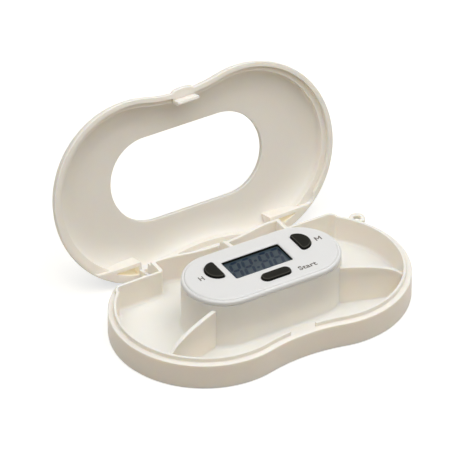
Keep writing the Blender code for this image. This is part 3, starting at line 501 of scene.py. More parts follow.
@dataclass(frozen=True)
class MouldedPlastic(Finish):
    """Moulded plastic: slightly mottled, with the fine satin grain of its mould."""

    colour: Colour
    roughness: float
    grain: float = 0.00035
    grain_depth: float = 0.000006
    flow: float = 0.014
    speck: float = 0.014 / 12
    speck_share: float = 0.3
    speck_gloss: float = 0.06
    cloud_gloss: float = 0.04
    mottle: float = 0.02
    glow: float = 0.0
    glow_reach: float = 0.0015
    glow_tint: Colour = (1.0, 0.76, 0.48)
    specular: float = 0.4

    def _paint(self, graph: Graph) -> Wire:
        """Mottled colour, changing gloss and a fine grain."""
        cloud, speck = graph.noise(self.flow, 3.0), graph.noise(self.speck, 2.0)
        deep = tuple(channel * (1 - self.mottle) for channel in self.colour)
        pale = tuple(min(1.0, channel * (1 + self.mottle)) for channel in self.colour)
        smoothest = self.roughness - (self.speck_gloss + self.cloud_gloss) / 2
        values = {
            "Base Color": graph.blend(cloud * (1 - self.speck_share) + speck * self.speck_share, deep, pale),
            "Roughness": smoothest + self.speck_gloss * speck + self.cloud_gloss * cloud,
            "Normal": graph.bump(graph.noise(self.grain, 3.0) + cloud * 2, self.grain_depth),
            "Specular IOR Level": self.specular,
        }
        if self.glow:
            values["Subsurface Weight"] = self.glow
            values["Subsurface Radius"] = self.glow_tint
            values["Subsurface Scale"] = self.glow_reach
        return graph.principled(values)


@dataclass(frozen=True)
class CapFinish(Finish):
    """A moulded button cap, lit and shaded by height: painted shade on its sides, a painted highlight along its edge
    and a crown painted lighter than the sides.
    """

    foot_z: float
    height: float
    dark: Colour = (0.004, 0.004, 0.003)
    pale: Colour = (0.058, 0.055, 0.045)
    # Tone by height share: painted shade low on the sides, a painted highlight along the edge, the crown between.
    shade_and_highlight_stops: tuple = ((0.0, 0.04), (0.72, 0.08), (0.82, 1.0), (0.88, 0.9), (0.91, 0.18), (1.0, 0.16))
    roughness: float = 0.5
    grain: float = 0.0002
    grain_depth: float = 0.000006
    grain_gloss: float = 0.1
    specular: float = 0.06

    def _paint(self, graph: Graph) -> Wire:
        """Painted shade and highlight by height above the cover's face, with a fine grain."""
        height = graph.parts(graph.place())[2]
        share = (height - self.foot_z) / self.height
        level = graph.node("ShaderNodeValToRGB", {"stops": self.shade_and_highlight_stops}, {"Fac": share})
        grain = graph.noise(self.grain, 3.0)
        return graph.principled({
            "Base Color": graph.blend(level, self.dark, self.pale),
            "Roughness": self.roughness + self.grain_gloss * grain,
            "Normal": graph.bump(grain, self.grain_depth),
            "Specular IOR Level": self.specular,
        })


@dataclass(frozen=True)
class PaintedGlowPlastic(MouldedPlastic):
    """The ivory plastic of the lid, thin behind the hinge pockets, with a warm glow painted in as emission inside
    them in place of light through the thin walls.
    """

    # warm and level: colour and strength of the glow painted as emission inside the pockets.
    warm: Colour = (1.0, 0.86, 0.52)
    level: float = 0.155
    pocket_x: float = 0.0
    pocket_y: float = 0.0
    pocket_z: float = 0.0
    lobe_x: float = 0.0
    reach: float = 0.0
    axis: tuple[float, float] = (0.0, 0.0)
    open_angle: float = 0.0

    def _paint(self, graph: Graph) -> Wire:
        """The plain plastic with a painted warm glow, an emission, inside the pockets."""
        surface = super()._paint(graph)
        shader = surface.socket.node
        # The painted glow: an emission in place of light through the pockets' thin walls.
        glow = graph.blend(self._inside(graph), (0.0, 0.0, 0.0), self.warm)
        graph.tree.links.new(glow.socket, shader.inputs["Emission Color"])
        shader.inputs["Emission Strength"].default_value = self.level
        return surface

    def _inside(self, graph: Graph) -> Wire:
        """1 inside a pocket, where the glow is painted, else 0, worked out in the closed lid's place."""
        x, y, z = graph.parts(graph.place())
        across, high = y - self.axis[0], z - self.axis[1]
        cos, sin = math.cos(self.open_angle), math.sin(self.open_angle)
        closed_y = across * cos - high * sin + self.axis[0]
        closed_z = across * sin + high * cos + self.axis[1]
        side = graph.node("ShaderNodeMath", {"operation": "ABSOLUTE"}, {0: x})
        from_lobe = side - self.lobe_x
        near = (from_lobe * from_lobe + closed_y * closed_y) < self.reach**2
        return (side > self.pocket_x) * (closed_y > self.pocket_y) * (closed_z > self.pocket_z) * near


@dataclass(frozen=True)
class MetalFinish(Finish):
    """Bare metal: drawn or rolled, with fine lines along one axis and faint stains."""

    colour: Colour
    roughness: float
    along: tuple[float, float, float] = (0.12, 1.0, 1.0)
    line: float = 0.00012
    line_depth: float = 0.0000012
    line_gloss: float = 0.08
    stain: float = 0.0022
    stain_gloss: float = 0.12
    stain_tone: float = 0.82

    def _paint(self, graph: Graph) -> Wire:
        """Lines along the axis, cloudy gloss."""
        lines = graph.noise(self.line, 2.0, graph.place(size=self.along))
        stain = graph.noise(self.stain, 3.0)
        dull = tuple(channel * self.stain_tone for channel in self.colour)
        return graph.principled({
            "Base Color": graph.blend(stain, dull, self.colour),
            "Metallic": 1.0,
            "Roughness": self.roughness + self.stain_gloss * stain + self.line_gloss * lines,
            "Normal": graph.bump(lines, self.line_depth),
        })


@dataclass(frozen=True)
class DisplayFinish(Finish):
    """The display's glass: blue-grey under a polariser, with slow bands and fine slanted fibres."""

    colour: Colour
    tint: Colour
    roughness: float = 0.12
    band: float = 0.006
    band_stretch: tuple[float, float, float] = (0.5, 1.0, 1.0)
    fibre: float = 0.00012
    fibre_turn: float = math.radians(38)
    fibre_stretch: tuple[float, float, float] = (0.1, 1.0, 1.0)
    fibre_share: float = 0.2
    fibre_gloss: float = 0.1
    fibre_depth: float = 0.0000006
    specular: float = 0.3
    coat: float = 0.12
    coat_roughness: float = 0.05

    def _paint(self, graph: Graph) -> Wire:
        """Two close tones under a smooth coat."""
        band = graph.noise(self.band, 2.0, graph.place(size=self.band_stretch))
        slanted = graph.place(turn=(0, 0, self.fibre_turn), size=self.fibre_stretch)
        fibre = graph.noise(self.fibre, 2.0, slanted)
        share = band * (1 - self.fibre_share) + fibre * self.fibre_share
        return graph.principled({
            "Base Color": graph.blend(share, self.colour, self.tint),
            "Roughness": self.roughness + self.fibre_gloss * fibre,
            "Normal": graph.bump(fibre, self.fibre_depth),
            "Specular IOR Level": self.specular,
            "Coat Weight": self.coat,
            "Coat Roughness": self.coat_roughness,
        })


@dataclass(frozen=True)
class PrintedInk(Finish):
    """Pad-printed ink: nearly even, thin and a little worn at random."""

    colour: Colour
    ground: Colour
    roughness: float = 0.5
    wear: float = 0.00022
    wear_levels: tuple = ((0.55, 0.0), (0.85, 0.45))
    wear_gloss: float = 0.1
    wear_depth: float = 0.000002

    def _paint(self, graph: Graph) -> Wire:
        """Ink with small thin spots that let the ground through."""
        thin = graph.noise(self.wear, 3.0)
        share = graph.node("ShaderNodeValToRGB", {"stops": self.wear_levels}, {"Fac": thin})
        return graph.principled({
            "Base Color": graph.blend(share, self.colour, self.ground),
            "Roughness": self.roughness + self.wear_gloss * thin,
            "Normal": graph.bump(thin, self.wear_depth),
        })


@dataclass(frozen=True)
class SolderMask(Finish):
    """A circuit board: green mask over straight copper tracks."""

    mask: Colour = (0.02, 0.14, 0.06)
    track: Colour = (0.05, 0.27, 0.10)
    pitch: float = 0.0011
    track_start: float = 0.34
    track_stop: float = 0.52
    track_depth: float = 0.00003
    speck: float = 0.0003
    speck_share: float = 0.3
    speck_gloss: float = 0.15
    roughness: float = 0.3
    coat: float = 0.3

    def _paint(self, graph: Graph) -> Wire:
        """Tracks of a crossed grid, broken up by cells."""
        values = {"Vector": graph.place(), "Scale": 1 / self.pitch}
        cells = graph.node("ShaderNodeTexVoronoi", {"distance": "CHEBYCHEV"}, values, "Distance")
        lines = (cells > self.track_start) * (cells < self.track_stop)
        speck = graph.noise(self.speck, 2.0)
        return graph.principled({
            "Base Color": graph.blend(lines, self.mask, self.track),
            "Roughness": self.roughness + self.speck_gloss * speck,
            "Normal": graph.bump(lines + speck * self.speck_share, self.track_depth),
            "Coat Weight": self.coat,
        })


@dataclass(frozen=True)
class StripedRubber(Finish):
    """A display connector: grey rubber with thin dark conductive layers across it."""

    colour: Colour = (0.30, 0.30, 0.31)
    layer: Colour = (0.03, 0.03, 0.03)
    pitch: float = 0.0004
    waves_per_unit: float = 0.314
    layer_level: float = 0.6
    roughness: float = 0.75
    speck: float = 0.0002
    speck_gloss: float = 0.1
    speck_depth: float = 0.00001

    def _paint(self, graph: Graph) -> Wire:
        """Stripes across X."""
        values = {"Vector": graph.place(), "Scale": self.waves_per_unit / self.pitch}
        wave = graph.node("ShaderNodeTexWave", {"bands_direction": "X"}, values, "Fac")
        speck = graph.noise(self.speck, 2.0)
        return graph.principled({
            "Base Color": graph.blend(wave > self.layer_level, self.colour, self.layer),
            "Roughness": self.roughness + self.speck_gloss * speck,
            "Normal": graph.bump(speck, self.speck_depth),
        })


class Finishes:
    """Every finish of the box, by what it is."""

    ivory = MouldedPlastic("satin ivory", (0.835, 0.79, 0.72), 0.42, glow=0.6, glow_reach=0.003)
    white = MouldedPlastic("satin white", (0.715, 0.705, 0.685), 0.38, grain=0.0003, mottle=0.012, glow=0.06)
    black = MouldedPlastic(
        "fine matt black", (0.0145, 0.014, 0.0095), 0.5, grain=0.0002, mottle=0.15, specular=0.06
    )
    glass = DisplayFinish("display glass", (0.034, 0.052, 0.066), (0.046, 0.066, 0.080))
    segment = DisplayFinish("display segment", (0.004, 0.016, 0.036), (0.006, 0.020, 0.044))
    ink = PrintedInk("warm grey ink", (0.085, 0.070, 0.055), (0.5, 0.49, 0.46))
    steel = MetalFinish("drawn steel", (0.62, 0.61, 0.59), 0.26)
    can = MetalFinish("nickelled steel", (0.68, 0.66, 0.62), 0.2, (1.0, 0.12, 1.0))
    gilt = MetalFinish("gilt spring strip", (0.80, 0.64, 0.36), 0.24)
    brass = MetalFinish("rolled brass", (0.74, 0.53, 0.22), 0.28, (1.0, 0.12, 1.0))
    board = SolderMask("green solder mask")
    rubber = StripedRubber("striped rubber")
    silvered = MetalFinish("silvered ceramic", (0.74, 0.72, 0.67), 0.42, (1.0, 1.0, 1.0))
    red = MouldedPlastic("red wire cover", (0.50, 0.03, 0.02), 0.4, mottle=0.05)


# Geometry Nodes.


class GeometryRule:
    """A Geometry Nodes tree with named inputs, baked to a plain mesh."""

    def __init__(self, name: str, base: Union[bpy.types.Mesh, None] = None) -> None:
        """Starts the tree.

        Args:
            name: The name of the tree and of what it makes.
            base: The mesh that enters the tree, if it uses one.
        """
        self.name = name
        self.tree = bpy.data.node_groups.new(name, "GeometryNodeTree")
        self.graph = Graph(self.tree)
        self.tree.interface.new_socket("Geometry", in_out="INPUT", socket_type="NodeSocketGeometry")
        self.tree.interface.new_socket("Geometry", in_out="OUTPUT", socket_type="NodeSocketGeometry")
        self.inputs = self.tree.nodes.new("NodeGroupInput")
        self.sizes: dict[str, Union[float, int]] = {}
        self.base = base or bpy.data.meshes.new(name)

    def size(self, name: str, value: Union[float, int]) -> Wire:
        """Adds a named input of that value and returns its wire."""
        kind = "NodeSocketInt" if isinstance(value, int) else "NodeSocketFloat"
        socket = self.tree.interface.new_socket(name, in_out="INPUT", socket_type=kind)
        self.sizes[socket.identifier] = value
        return Wire(self.graph, self.inputs.outputs[name])

    def base_geometry(self) -> Wire:
        """The mesh that enters the tree."""
        return Wire(self.graph, self.inputs.outputs["Geometry"])

    def node(self, kind: str, settings: dict, values: dict, out: Union[int, str] = 0) -> Wire:
        """Adds a node to the tree."""
        return self.graph.node(kind, settings, values, out)

    def vector(self, x: Value = 0.0, y: Value = 0.0, z: Value = 0.0) -> Wire:
        """A vector from three numbers or wires."""
        return self.node("ShaderNodeCombineXYZ", {}, {"X": x, "Y": y, "Z": z})

    def moved(self, geometry: Wire, x: Value = 0.0, y: Value = 0.0, z: Value = 0.0) -> Wire:
        """Geometry moved by a vector."""
        return self.node("GeometryNodeTransform", {}, {"Geometry": geometry, "Translation": self.vector(x, y, z)})

    def joined(self, *parts: Wire) -> Wire:
        """Several geometries as one."""
        return self.node("GeometryNodeJoinGeometry", {}, {"Geometry": list(parts)})

    def instances(self, points: Wire, shape: Wire, turn: tuple = (0.0, 0.0, 0.0)) -> Wire:
        """A shape on each point."""
        values = {"Points": points, "Instance": shape, "Rotation": turn}
        return self.node("GeometryNodeInstanceOnPoints", {}, values)

    def scaled(self, geometry: Wire, x: Value) -> Wire:
        """Geometry stretched along X."""
        return self.node("GeometryNodeTransform", {}, {"Geometry": geometry, "Scale": self.vector(x, 1.0, 1.0)})

    def line(self, start: Wire, offset: Wire, count: int = 2) -> Wire:
        """Points from a start, each an offset on from the last."""
        values = {"Count": count, "Start Location": start, "Offset": offset}
        return self.node("GeometryNodeMeshLine", {"mode": "OFFSET"}, values)

    def cylinder(self, radius: Value, depth: Value, vertices: int) -> Wire:
        """An upright cylinder about the origin."""
        values = {"Vertices": vertices, "Radius": radius, "Depth": depth}
        return self.node("GeometryNodeMeshCylinder", {}, values)

    def ring(self, radius: Value, steps: int) -> Wire:
        """A round curve about the origin."""
        return self.node("GeometryNodeCurvePrimitiveCircle", {}, {"Resolution": steps, "Radius": radius})

    def soft_box(self, width: Value, height: Value, corner: Value, steps: Value) -> Wire:
        """A rectangular curve about the origin with rounded corners."""
        box = self.node("GeometryNodeCurvePrimitiveQuadrilateral", {}, {"Width": width, "Height": height})
        values = {"Curve": box, "Count": steps, "Radius": corner}
        return self.node("GeometryNodeFilletCurve", {"mode": "POLY"}, values)

    def swept(self, path: Wire, profile: Union[Wire, None] = None) -> Wire:
        """A mesh along a curve, or the bare curve as a mesh where no profile is given."""
        values = {"Curve": path, "Profile Curve": profile} if profile else {"Curve": path}
        return self.node("GeometryNodeCurveToMesh", {}, values)

    def bake(self, last: Wire, material: Union[bpy.types.Material, None] = None) -> Solid:
        """Ends the tree and bakes it.

        Args:
            last: The geometry to keep.
            material: The finish that the tree sets.

        Returns:
            The result as a plain solid.
        """
        real = self.node("GeometryNodeRealizeInstances", {}, {"Geometry": last})
        finished = self.node("GeometryNodeSetMaterial", {}, {"Geometry": real, "Material": material})
        self.node("NodeGroupOutput", {}, {"Geometry": finished})
        made = added(self.name, self.base)
        modifier = made.modifiers.new(self.name, "NODES")
        modifier.node_group = self.tree
        for identifier, value in self.sizes.items():
            modifier[identifier] = value
        settle(made)
        return Solid(self.name, made)


def rounded_slab(
    name: str, half: float, radius: float, edge: float, low_z: float, high_z: float, steps: int = 28,
) -> Solid:
    """A slab over a stadium, its upper edge swept round: the hull of a swept tube and the foot's outline.

    Args:
        name: Its name.
        half: Half of the straight sides.
        radius: Radius of the ends.
        edge: Radius of the upper edge.
        low_z, high_z: Its heights.
        steps: Steps of each quarter of the plan, and points round the tube.

    Returns:
        The slab, about the origin of X and Y.
    """
    rule = GeometryRule(name)
    half_in, radius_in = rule.size("Half length", half), rule.size("End radius", radius)
    edge_in, steps_in = rule.size("Edge radius", edge), rule.size("End steps", steps)
    low_in, high_in = rule.size("Foot height", low_z), rule.size("Top height", high_z)

    def track(reach: Wire) -> Wire:
        """A stadium of that end radius."""
        return rule.soft_box((half_in + reach) * 2, reach * 2, reach * NEARLY_ALL, steps_in)

    tube = rule.swept(track(radius_in - edge_in), rule.ring(edge_in, steps))
    foot = rule.swept(track(radius_in))
    both = rule.joined(rule.moved(tube, z=high_in - edge_in), rule.moved(foot, z=low_in))
    return rule.bake(rule.node("GeometryNodeConvexHull", {}, {"Geometry": both})).outward()


# The box.


@dataclass(frozen=True)
class BoxSizes:
    """Sizes that the tray and the lid share: their plan, their heights and the hinge between them."""

    lobe_radius: float = 0.03435
    lobe_x: float = 0.02315
    waist_hollow: float = 0.00282
    floor: float = 0.0012
    floor_fillet: float = 0.0014
    rim_z: float = 0.0101
    lip_inset: float = 0.0021
    lip_thickness: float = 0.001
    lip_height: float = 0.0017
    lid_rise: float = 0.009
    lid_plate: float = 0.002
    parting_gap: float = 0.00025
    seat_gap: float = 0.0003
    run_gap: float = 0.0001
    hinge_depth: float = 0.0094
    hinge_wall: float = 0.0014
    return_out: float = 0.00205
    return_wall: float = 0.0015
    return_corner: float = 0.0015
    corner_out: float = 0.0032
    corner_radius: float = 0.0022
    axis_inset: float = 0.00285
    axis_z: float = 0.0046
    pin_radius: float = 0.001
    pin_bed: float = 0.001
    barrel_radius: float = 0.0023
    arm_width: float = 0.0012
    cheek: float = 0.0014
    open_angle: float = math.radians(105.5)
    lobe_steps: int = 96
    waist_steps: int = 18
    corner_steps: int = 10
    return_steps: int = 8
    behind_steps: int = 6

    @property
    def waist_half_width(self) -> float:
        """Half of the box's width at its waist."""
        return self.lobe_radius - self.waist_hollow

    @property
    def waist_radius(self) -> float:
        """Radius of the hollow waist arcs."""
        reach = self.lobe_x**2 + self.waist_half_width**2 - self.lobe_radius**2
        return reach / (2 * self.waist_hollow)

    @property
    def waist_y(self) -> float:
        """Y of the waist arc's centre."""
        return self.waist_half_width + self.waist_radius

    @property
    def lobe_turn(self) -> float:
        """Angle at which a lobe meets the waist."""
        return math.atan2(self.waist_y, -self.lobe_x)

    @property
    def side(self) -> float:
        """Half of the box's length."""
        return self.lobe_x + self.lobe_radius

    @property
    def inner_wall(self) -> float:
        """How far the tray's hollow is inside the outline."""
        return self.lip_inset + self.lip_thickness

    @property
    def lip_top_z(self) -> float:
        """Top of the lip."""
        return self.rim_z + self.lip_height

    @property
    def lid_rim_z(self) -> float:
        """Lower edge of the closed lid."""
        return self.rim_z + self.parting_gap

    @property
    def lid_top_z(self) -> float:
        """Top of the closed lid."""
        return self.lid_rim_z + self.lid_rise

    @property
    def lid_plate_z(self) -> float:
        """Underside of the closed lid's plate."""
        return self.lid_top_z - self.lid_plate

    @property
    def hinge_wall_y(self) -> float:
        """Inner face of the wall before the hinges."""
        return self.lobe_radius - self.hinge_depth

    @property
    def partition_y(self) -> float:
        """Outer face of the wall before the hinges."""
        return self.hinge_wall_y + self.hinge_wall

    @property
    def return_x(self) -> float:
        """Inner face of the wall that turns back beside a hinge."""
        return self.lobe_x + self.return_out

    @property
    def corner_x(self) -> float:
        """Outer end of the squared hinge corner."""
        reach = math.sqrt((self.lobe_radius - self.inner_wall) ** 2 - self.hinge_wall_y**2)
        return self.lobe_x + reach + self.corner_out

    @property
    def pocket_x(self) -> float:
        """Inner side of a hinge pocket."""
        return self.return_x + self.return_wall

    @property
    def arm_x(self) -> float:
        """Inner side of a hinge arm."""
        return self.pocket_x + self.seat_gap

    @property
    def arm_end_x(self) -> float:
        """Outer side of a hinge arm."""
        return self.arm_x + self.arm_width

    @property
    def cheek_x(self) -> float:
        """Inner side of a cheek."""
        return self.arm_end_x + self.seat_gap

    @property
    def axis_y(self) -> float:
        """Y of the hinge axis."""
        return self.lobe_radius - self.axis_inset

    def outline(self, inset: float) -> Plan:
        """The plan of the box, that far inside its outer edge."""
        lean = math.pi - self.lobe_turn
        hollow = self.waist_radius + inset
        front = arc(0, -self.waist_y, hollow, QUARTER, lean, self.waist_steps)
        lobe = arc(self.lobe_x, 0, self.lobe_radius - inset, -self.lobe_turn, self.lobe_turn, self.lobe_steps)
        back = arc(0, self.waist_y, hollow, -lean, -QUARTER, self.waist_steps)
        return mirrored(front[:-1] + lobe + back[1:])

    def hollow(self, inset: float, side_x: Union[float, None] = None) -> Plan:
        """The plan of the tray's hollow, squared off at the back corners for the hinges.

        Args:
            inset: How far inside the hollow's wall.
            side_x: Where the wall that turns back stands at no inset, if not at its own place.

        Returns:
            The outline.
        """
        side_x = self.return_x if side_x is None else side_x
        lean = math.pi - self.lobe_turn
        radius = self.lobe_radius - self.inner_wall - inset
        waist = self.waist_radius + self.inner_wall + inset
        corner_y, return_y = self.hinge_wall_y - self.corner_radius, self.hinge_wall_y + self.return_corner
        to_corner = math.acos((self.corner_x - inset - self.lobe_x) / radius)
        meets_corner = min(to_corner, math.asin(corner_y / radius))
        leaves_wall = min(math.acos((side_x - inset - self.lobe_x) / radius), self.lobe_turn)
        front = arc(0, -self.waist_y, waist, QUARTER, lean, self.waist_steps)
        lobe = arc(self.lobe_x, 0, radius, -self.lobe_turn, meets_corner, self.lobe_steps)
        corner_x, corner = self.corner_x - self.corner_radius, self.corner_radius - inset
        corner = arc(corner_x, corner_y, corner, 0, QUARTER, self.corner_steps)
        turn_x, turned = side_x + self.return_corner, self.return_corner + inset
        turn_back = arc(turn_x, return_y, turned, 3 * QUARTER, 2 * QUARTER, self.return_steps)
        behind = arc(self.lobe_x, 0, radius, leaves_wall, self.lobe_turn, self.behind_steps)
        back = arc(0, self.waist_y, waist, -lean, -QUARTER, self.waist_steps)
        return mirrored(front[:-1] + lobe + corner + turn_back + behind[:-1] + back)

    def reach_to_lobe(self, x: float, y: float, heading: float, radius: float) -> float:
        """How far a ray runs from a point inside the right lobe to a circle about the lobe's centre."""
        along = (x - self.lobe_x) * math.cos(heading) + y * math.sin(heading)
        return -along + math.sqrt(along**2 - (x - self.lobe_x) ** 2 - y**2 + radius**2)


@dataclass(frozen=True)
class TimerSizes:
    """Sizes that the timer's housing, cover, display and buttons share."""

    centre_x: float = 0.0003
    radius: float = 0.0152
    half: float = 0.0156
    housing_wall: float = 0.0016
    foot_z: float = 0.0193
    seat_gap: float = 0.0003
    button_gap: float = 0.0002
    side: float = 0.0013
    edge: float = 0.0003
    face_inset: float = 0.001
    face_step: float = 0.00045
    plate: float = 0.00165
    thin_edge: float = 0.0005
    frame_height: float = 0.0008
    frame_wall: float = 0.001
    frame_gap: float = 0.0001
    glass: float = 0.00165
    glass_border: float = 0.001
    display_x: float = -0.00024
    display_y: float = 0.002052
    display_length: float = 0.02344
    display_width: float = 0.01112
    display_corner: float = 0.0006
    base_plate: float = 0.0022
    base_border: float = 0.0008
    post_x: float = 0.0225
    post_y: float = -0.005
    end_steps: int = 40

    @property
    def bore(self) -> float:
        """Radius of the housing's bore."""
        return self.radius - self.housing_wall

    @property
    def housing_top_z(self) -> float:
        """Top of the housing, below the cover."""
        return self.foot_z - self.seat_gap

    @property
    def ledge_z(self) -> float:
        """Height of the ledge round the face."""
        return self.foot_z + self.side + self.edge

    @property
    def face_z(self) -> float:
        """Height of the face."""
        return self.ledge_z + self.face_step

    @property
    def plate_z(self) -> float:
        """Underside of the face's plate."""
        return self.face_z - self.plate

    @property
    def frame_top_z(self) -> float:
        """Top of the display's frame."""
        return self.face_z - self.thin_edge - self.frame_gap

    @property
    def glass_top_z(self) -> float:
        """Top of the display's glass."""
        return self.frame_top_z - self.frame_height - self.frame_gap

    def stadium(self, radius: float, y: float = 0.0) -> Plan:
        """The outline of the timer at that end radius."""
        return stadium(self.half, radius, self.centre_x, y, self.end_steps)

    def opening(self, grow: float, corner: float) -> Plan:
        """The display's opening, grown on each side, with that corner radius."""
        length, width = self.display_length + 2 * grow, self.display_width + 2 * grow
        return rounded_box(self.display_x, self.display_y, length, width, corner)


def stadium(half: float, radius: float, x: float, y: float = 0.0, steps: int = 40) -> Plan:
    """An outline with two straight sides and two round ends.

    Args:
        half: Half of a straight side.
        radius: Radius of the ends.
        x, y: Centre.
        steps: Steps of each end.

    Returns:
        The outline, counter-clockwise.
    """
    right = arc(x + half, y, radius, -QUARTER, QUARTER, steps)
    left = arc(x - half, y, radius, QUARTER, 3 * QUARTER, steps)
    return right + left


@dataclass
class Tray:
    """The tray: rim and lip, dividers, housing of the timer, hinge pockets, latch seat and cord eye."""

    box: BoxSizes
    timer: TimerSizes
    under_edge: float = 0.0008
    rim_edge: float = 0.0004
    lip_edge: float = 0.0003
    lip_foot: float = 0.0002
    housing_flare: float = 0.0012
    housing_edge: float = 0.0002
    latch_half_gap: float = 0.0052
    latch_recess: float = 0.0014
    latch_depth: float = 0.0037
    latch_groove: float = 0.0005
    latch_groove_height: float = 0.0016
    tongue_depth: float = 0.0032
    tongue_thickness: float = 0.0013
    divider: float = 0.0016
    divider_turn: float = math.radians(46)
    divider_splay: float = math.radians(18)
    divider_drop: float = 0.0003
    divider_edge: float = 0.00035
    divider_foot: float = 0.0006
    side_shares: tuple = (
        (0.0, 1.0), (0.33, 0.955), (0.61, 0.88), (0.84, 0.77), (0.96, 0.65), (1.04, 0.56),
    )
    rear_shares: tuple = (
        (0.0, 1.0), (0.33, 0.985), (0.61, 0.95), (0.8, 0.905),
        (0.89, 0.85), (0.925, 0.77), (0.945, 0.68), (1.04, 0.65),
    )
    side_steps: int = 26
    rear_steps: int = 44
    eye_turn: float = math.radians(34.6)
    eye_radius: float = 0.003
    eye_out: float = 0.0021
    eye_hole: float = 0.0013
    eye_thickness: float = 0.0019
    eye_drop: float = 0.0004
    eye_edge: float = 0.00045
    eye_steps: int = 56
    eye_edge_steps: int = 6

    def build(self) -> bpy.types.Object:
        """Builds and dresses the tray."""
        tray = self._shell().join(self._lip()).cut(self._hollow())
        self._hinge_corners(tray)
        tray.join(self._housing())
        self._dividers(tray)
        timer = self.timer
        seat_z = timer.base_plate + timer.seat_gap
        tray.cut(
            Solid.prism("bore", timer.stadium(timer.bore), -OVERRUN, timer.housing_top_z + OVERRUN),
            Solid.prism("seat", timer.stadium(timer.bore + timer.base_border), -OVERRUN, seat_z),
        )
        self._eye(tray)
        self._latch_seat(tray)
        return tray.dress(Finishes.ivory.material(), "tray", "ivory_plastic", "base_tray")

    def _shell(self) -> Solid:
        """The outside: rounded foot, wall and rounded rim."""
        plan = self.box.outline
        edges = lower_edge(plan, 0.0, self.under_edge) + upper_edge(plan, self.box.rim_z, self.rim_edge)
        return Solid.loft("tray_moulding", *edges)

    def _lip(self) -> Solid:
        """The lip that stands on the rim, round the hollow and its squared hinge corners."""
        box, thick, foot = self.box, self.box.lip_thickness, self.lip_foot
        side_x = box.pocket_x - thick + foot / 2

        def plan(inset: float) -> Plan:
            """The lip's outer side; beside a hinge it reaches just past the face of the pocket."""
            return box.hollow(inset - thick, side_x + min(inset, 0.0))

        layers = [(plan(0.0), box.rim_z / 2), (plan(0.0), box.rim_z - foot)]
        layers += [(plan(-foot), box.rim_z), (plan(0.0), box.rim_z + foot)]
        return Solid.loft("lip", *layers, *upper_edge(plan, box.lip_top_z, self.lip_edge))

    def _hollow(self) -> Solid:
        """The cutter of the hollow: filleted at the floor, flared at the lip's inner edge."""
        box, edge = self.box, self.lip_edge
        layers = lower_edge(box.hollow, box.floor, box.floor_fillet, steps=12)
        layers += upper_edge(lambda inset: box.hollow(-inset), box.lip_top_z, edge)
        return Solid.loft("hollow", *layers, (box.hollow(-edge), box.lip_top_z + OVERRUN))

    def _hinge_corners(self, tray: Solid) -> None:
        """The hinge pockets, the cheeks and the pin bores."""
        box = self.box
        high = box.lip_top_z + OVERRUN
        for way in (-1, 1):
            low_x, high_x = side_span(way, box.pocket_x, box.side)
            low = (low_x, box.partition_y, box.floor)
            tray.cut(Solid.block("pocket", low, (high_x, box.side, high)))
            low_x, high_x = side_span(way, box.cheek_x, box.cheek_x + box.cheek)
            tray.join(Solid.bar("cheek", self._cheek(), low_x, high_x))
            low_x, high_x = side_span(way, box.pocket_x - box.pin_bed, box.cheek_x + box.cheek + OVERRUN)
            tray.cut(Solid.bar("bore", circle(box.axis_y, box.axis_z, box.pin_radius + box.run_gap), low_x, high_x))

    def _cheek(self) -> Plan:
        """Side view of the cheek that holds the outer end of a pin."""
        box = self.box
        reach = box.barrel_radius - box.run_gap
        crown = arc(box.axis_y, box.axis_z, reach, 0, QUARTER, steps=12)
        inside_y, low = box.hinge_wall_y + box.hinge_wall / 2, box.floor / 2
        return [(inside_y, low), (box.axis_y + reach, low), *crown, (inside_y, box.axis_z + reach)]

    def _housing(self) -> Solid:
        """The upright housing of the timer, swept out softly to the floor."""
        timer, floor, flare = self.timer, self.box.floor, self.housing_flare
        layers = [(timer.stadium(timer.radius + flare), floor / 2)]
        for inn, along in rounding(flare, steps=8):
            layers.append((timer.stadium(timer.radius + flare - along), floor + inn))

        def plan(inset: float) -> Plan:
            """The wall that far inside its outer side."""
            return timer.stadium(timer.radius - inset)

        return Solid.loft("housing", *layers, *upper_edge(plan, timer.housing_top_z, self.housing_edge, steps=3))

    @staticmethod
    def _height_at(run: float, knots: tuple) -> float:
        """Height share of a divider's top at a share of its run, on a smooth curve through its knots."""
        last = len(knots) - 1
        i = next((i for i in range(1, last) if run <= knots[i][0]), last)
        (x0, y0), (x1, y1) = knots[i - 1], knots[i]
        before, after = knots[max(i - 2, 0)], knots[min(i + 1, last)]
        slope0 = (y1 - before[1]) / (x1 - before[0]) if i > 1 else 0.0
        slope1 = (after[1] - y0) / (after[0] - x0)
        t = (run - x0) / (x1 - x0)
        smooth = (1 + 2 * t) * (1 - t) ** 2 * y0 + t * (1 - t) ** 2 * (x1 - x0) * slope0
        return smooth + t**2 * (3 - 2 * t) * y1 + t**2 * (t - 1) * (x1 - x0) * slope1

    def _section(self, top_z: float) -> Plan:
        """Cross-section of a divider: flared at the floor, rounded at the top.

        Args:
            top_z: Its height there.

        Returns:
            The (across, z) points.
        """
        half, floor = self.divider / 2, self.box.floor
        right = [(half + self.divider_foot, floor / 2)]
        right += [(half + self.divider_foot - along, floor + inn) for inn, along in rounding(self.divider_foot)]
        edge = self.divider_edge
        right += [(half - inn, top_z - edge + along) for inn, along in rounding(edge, steps=6)]
        return right + [(-across, z) for across, z in reversed(right)]

    def _blade(self, length: float, top_z: float, shares: tuple, steps: int) -> Solid:
        """A divider along X, from inside the housing's wall to inside the outer wall.

        Args:
            length: Its run between the two walls.
            top_z: Its height at the housing.
            shares: Its height shares by share of the run.
            steps: Steps of its top.

        Returns:
            The divider.
        """
        start, stop = -self.timer.housing_wall / 2, length + self.box.lip_thickness / 2
        rings = []
        for i in range(steps + 1):
            x = start + (stop - start) * i / steps
            share = self._height_at(max(x, 0) / length, shares)
            rings.append([(x, across, z) for across, z in self._section(top_z * share)])
        return Solid.through("blade", rings)

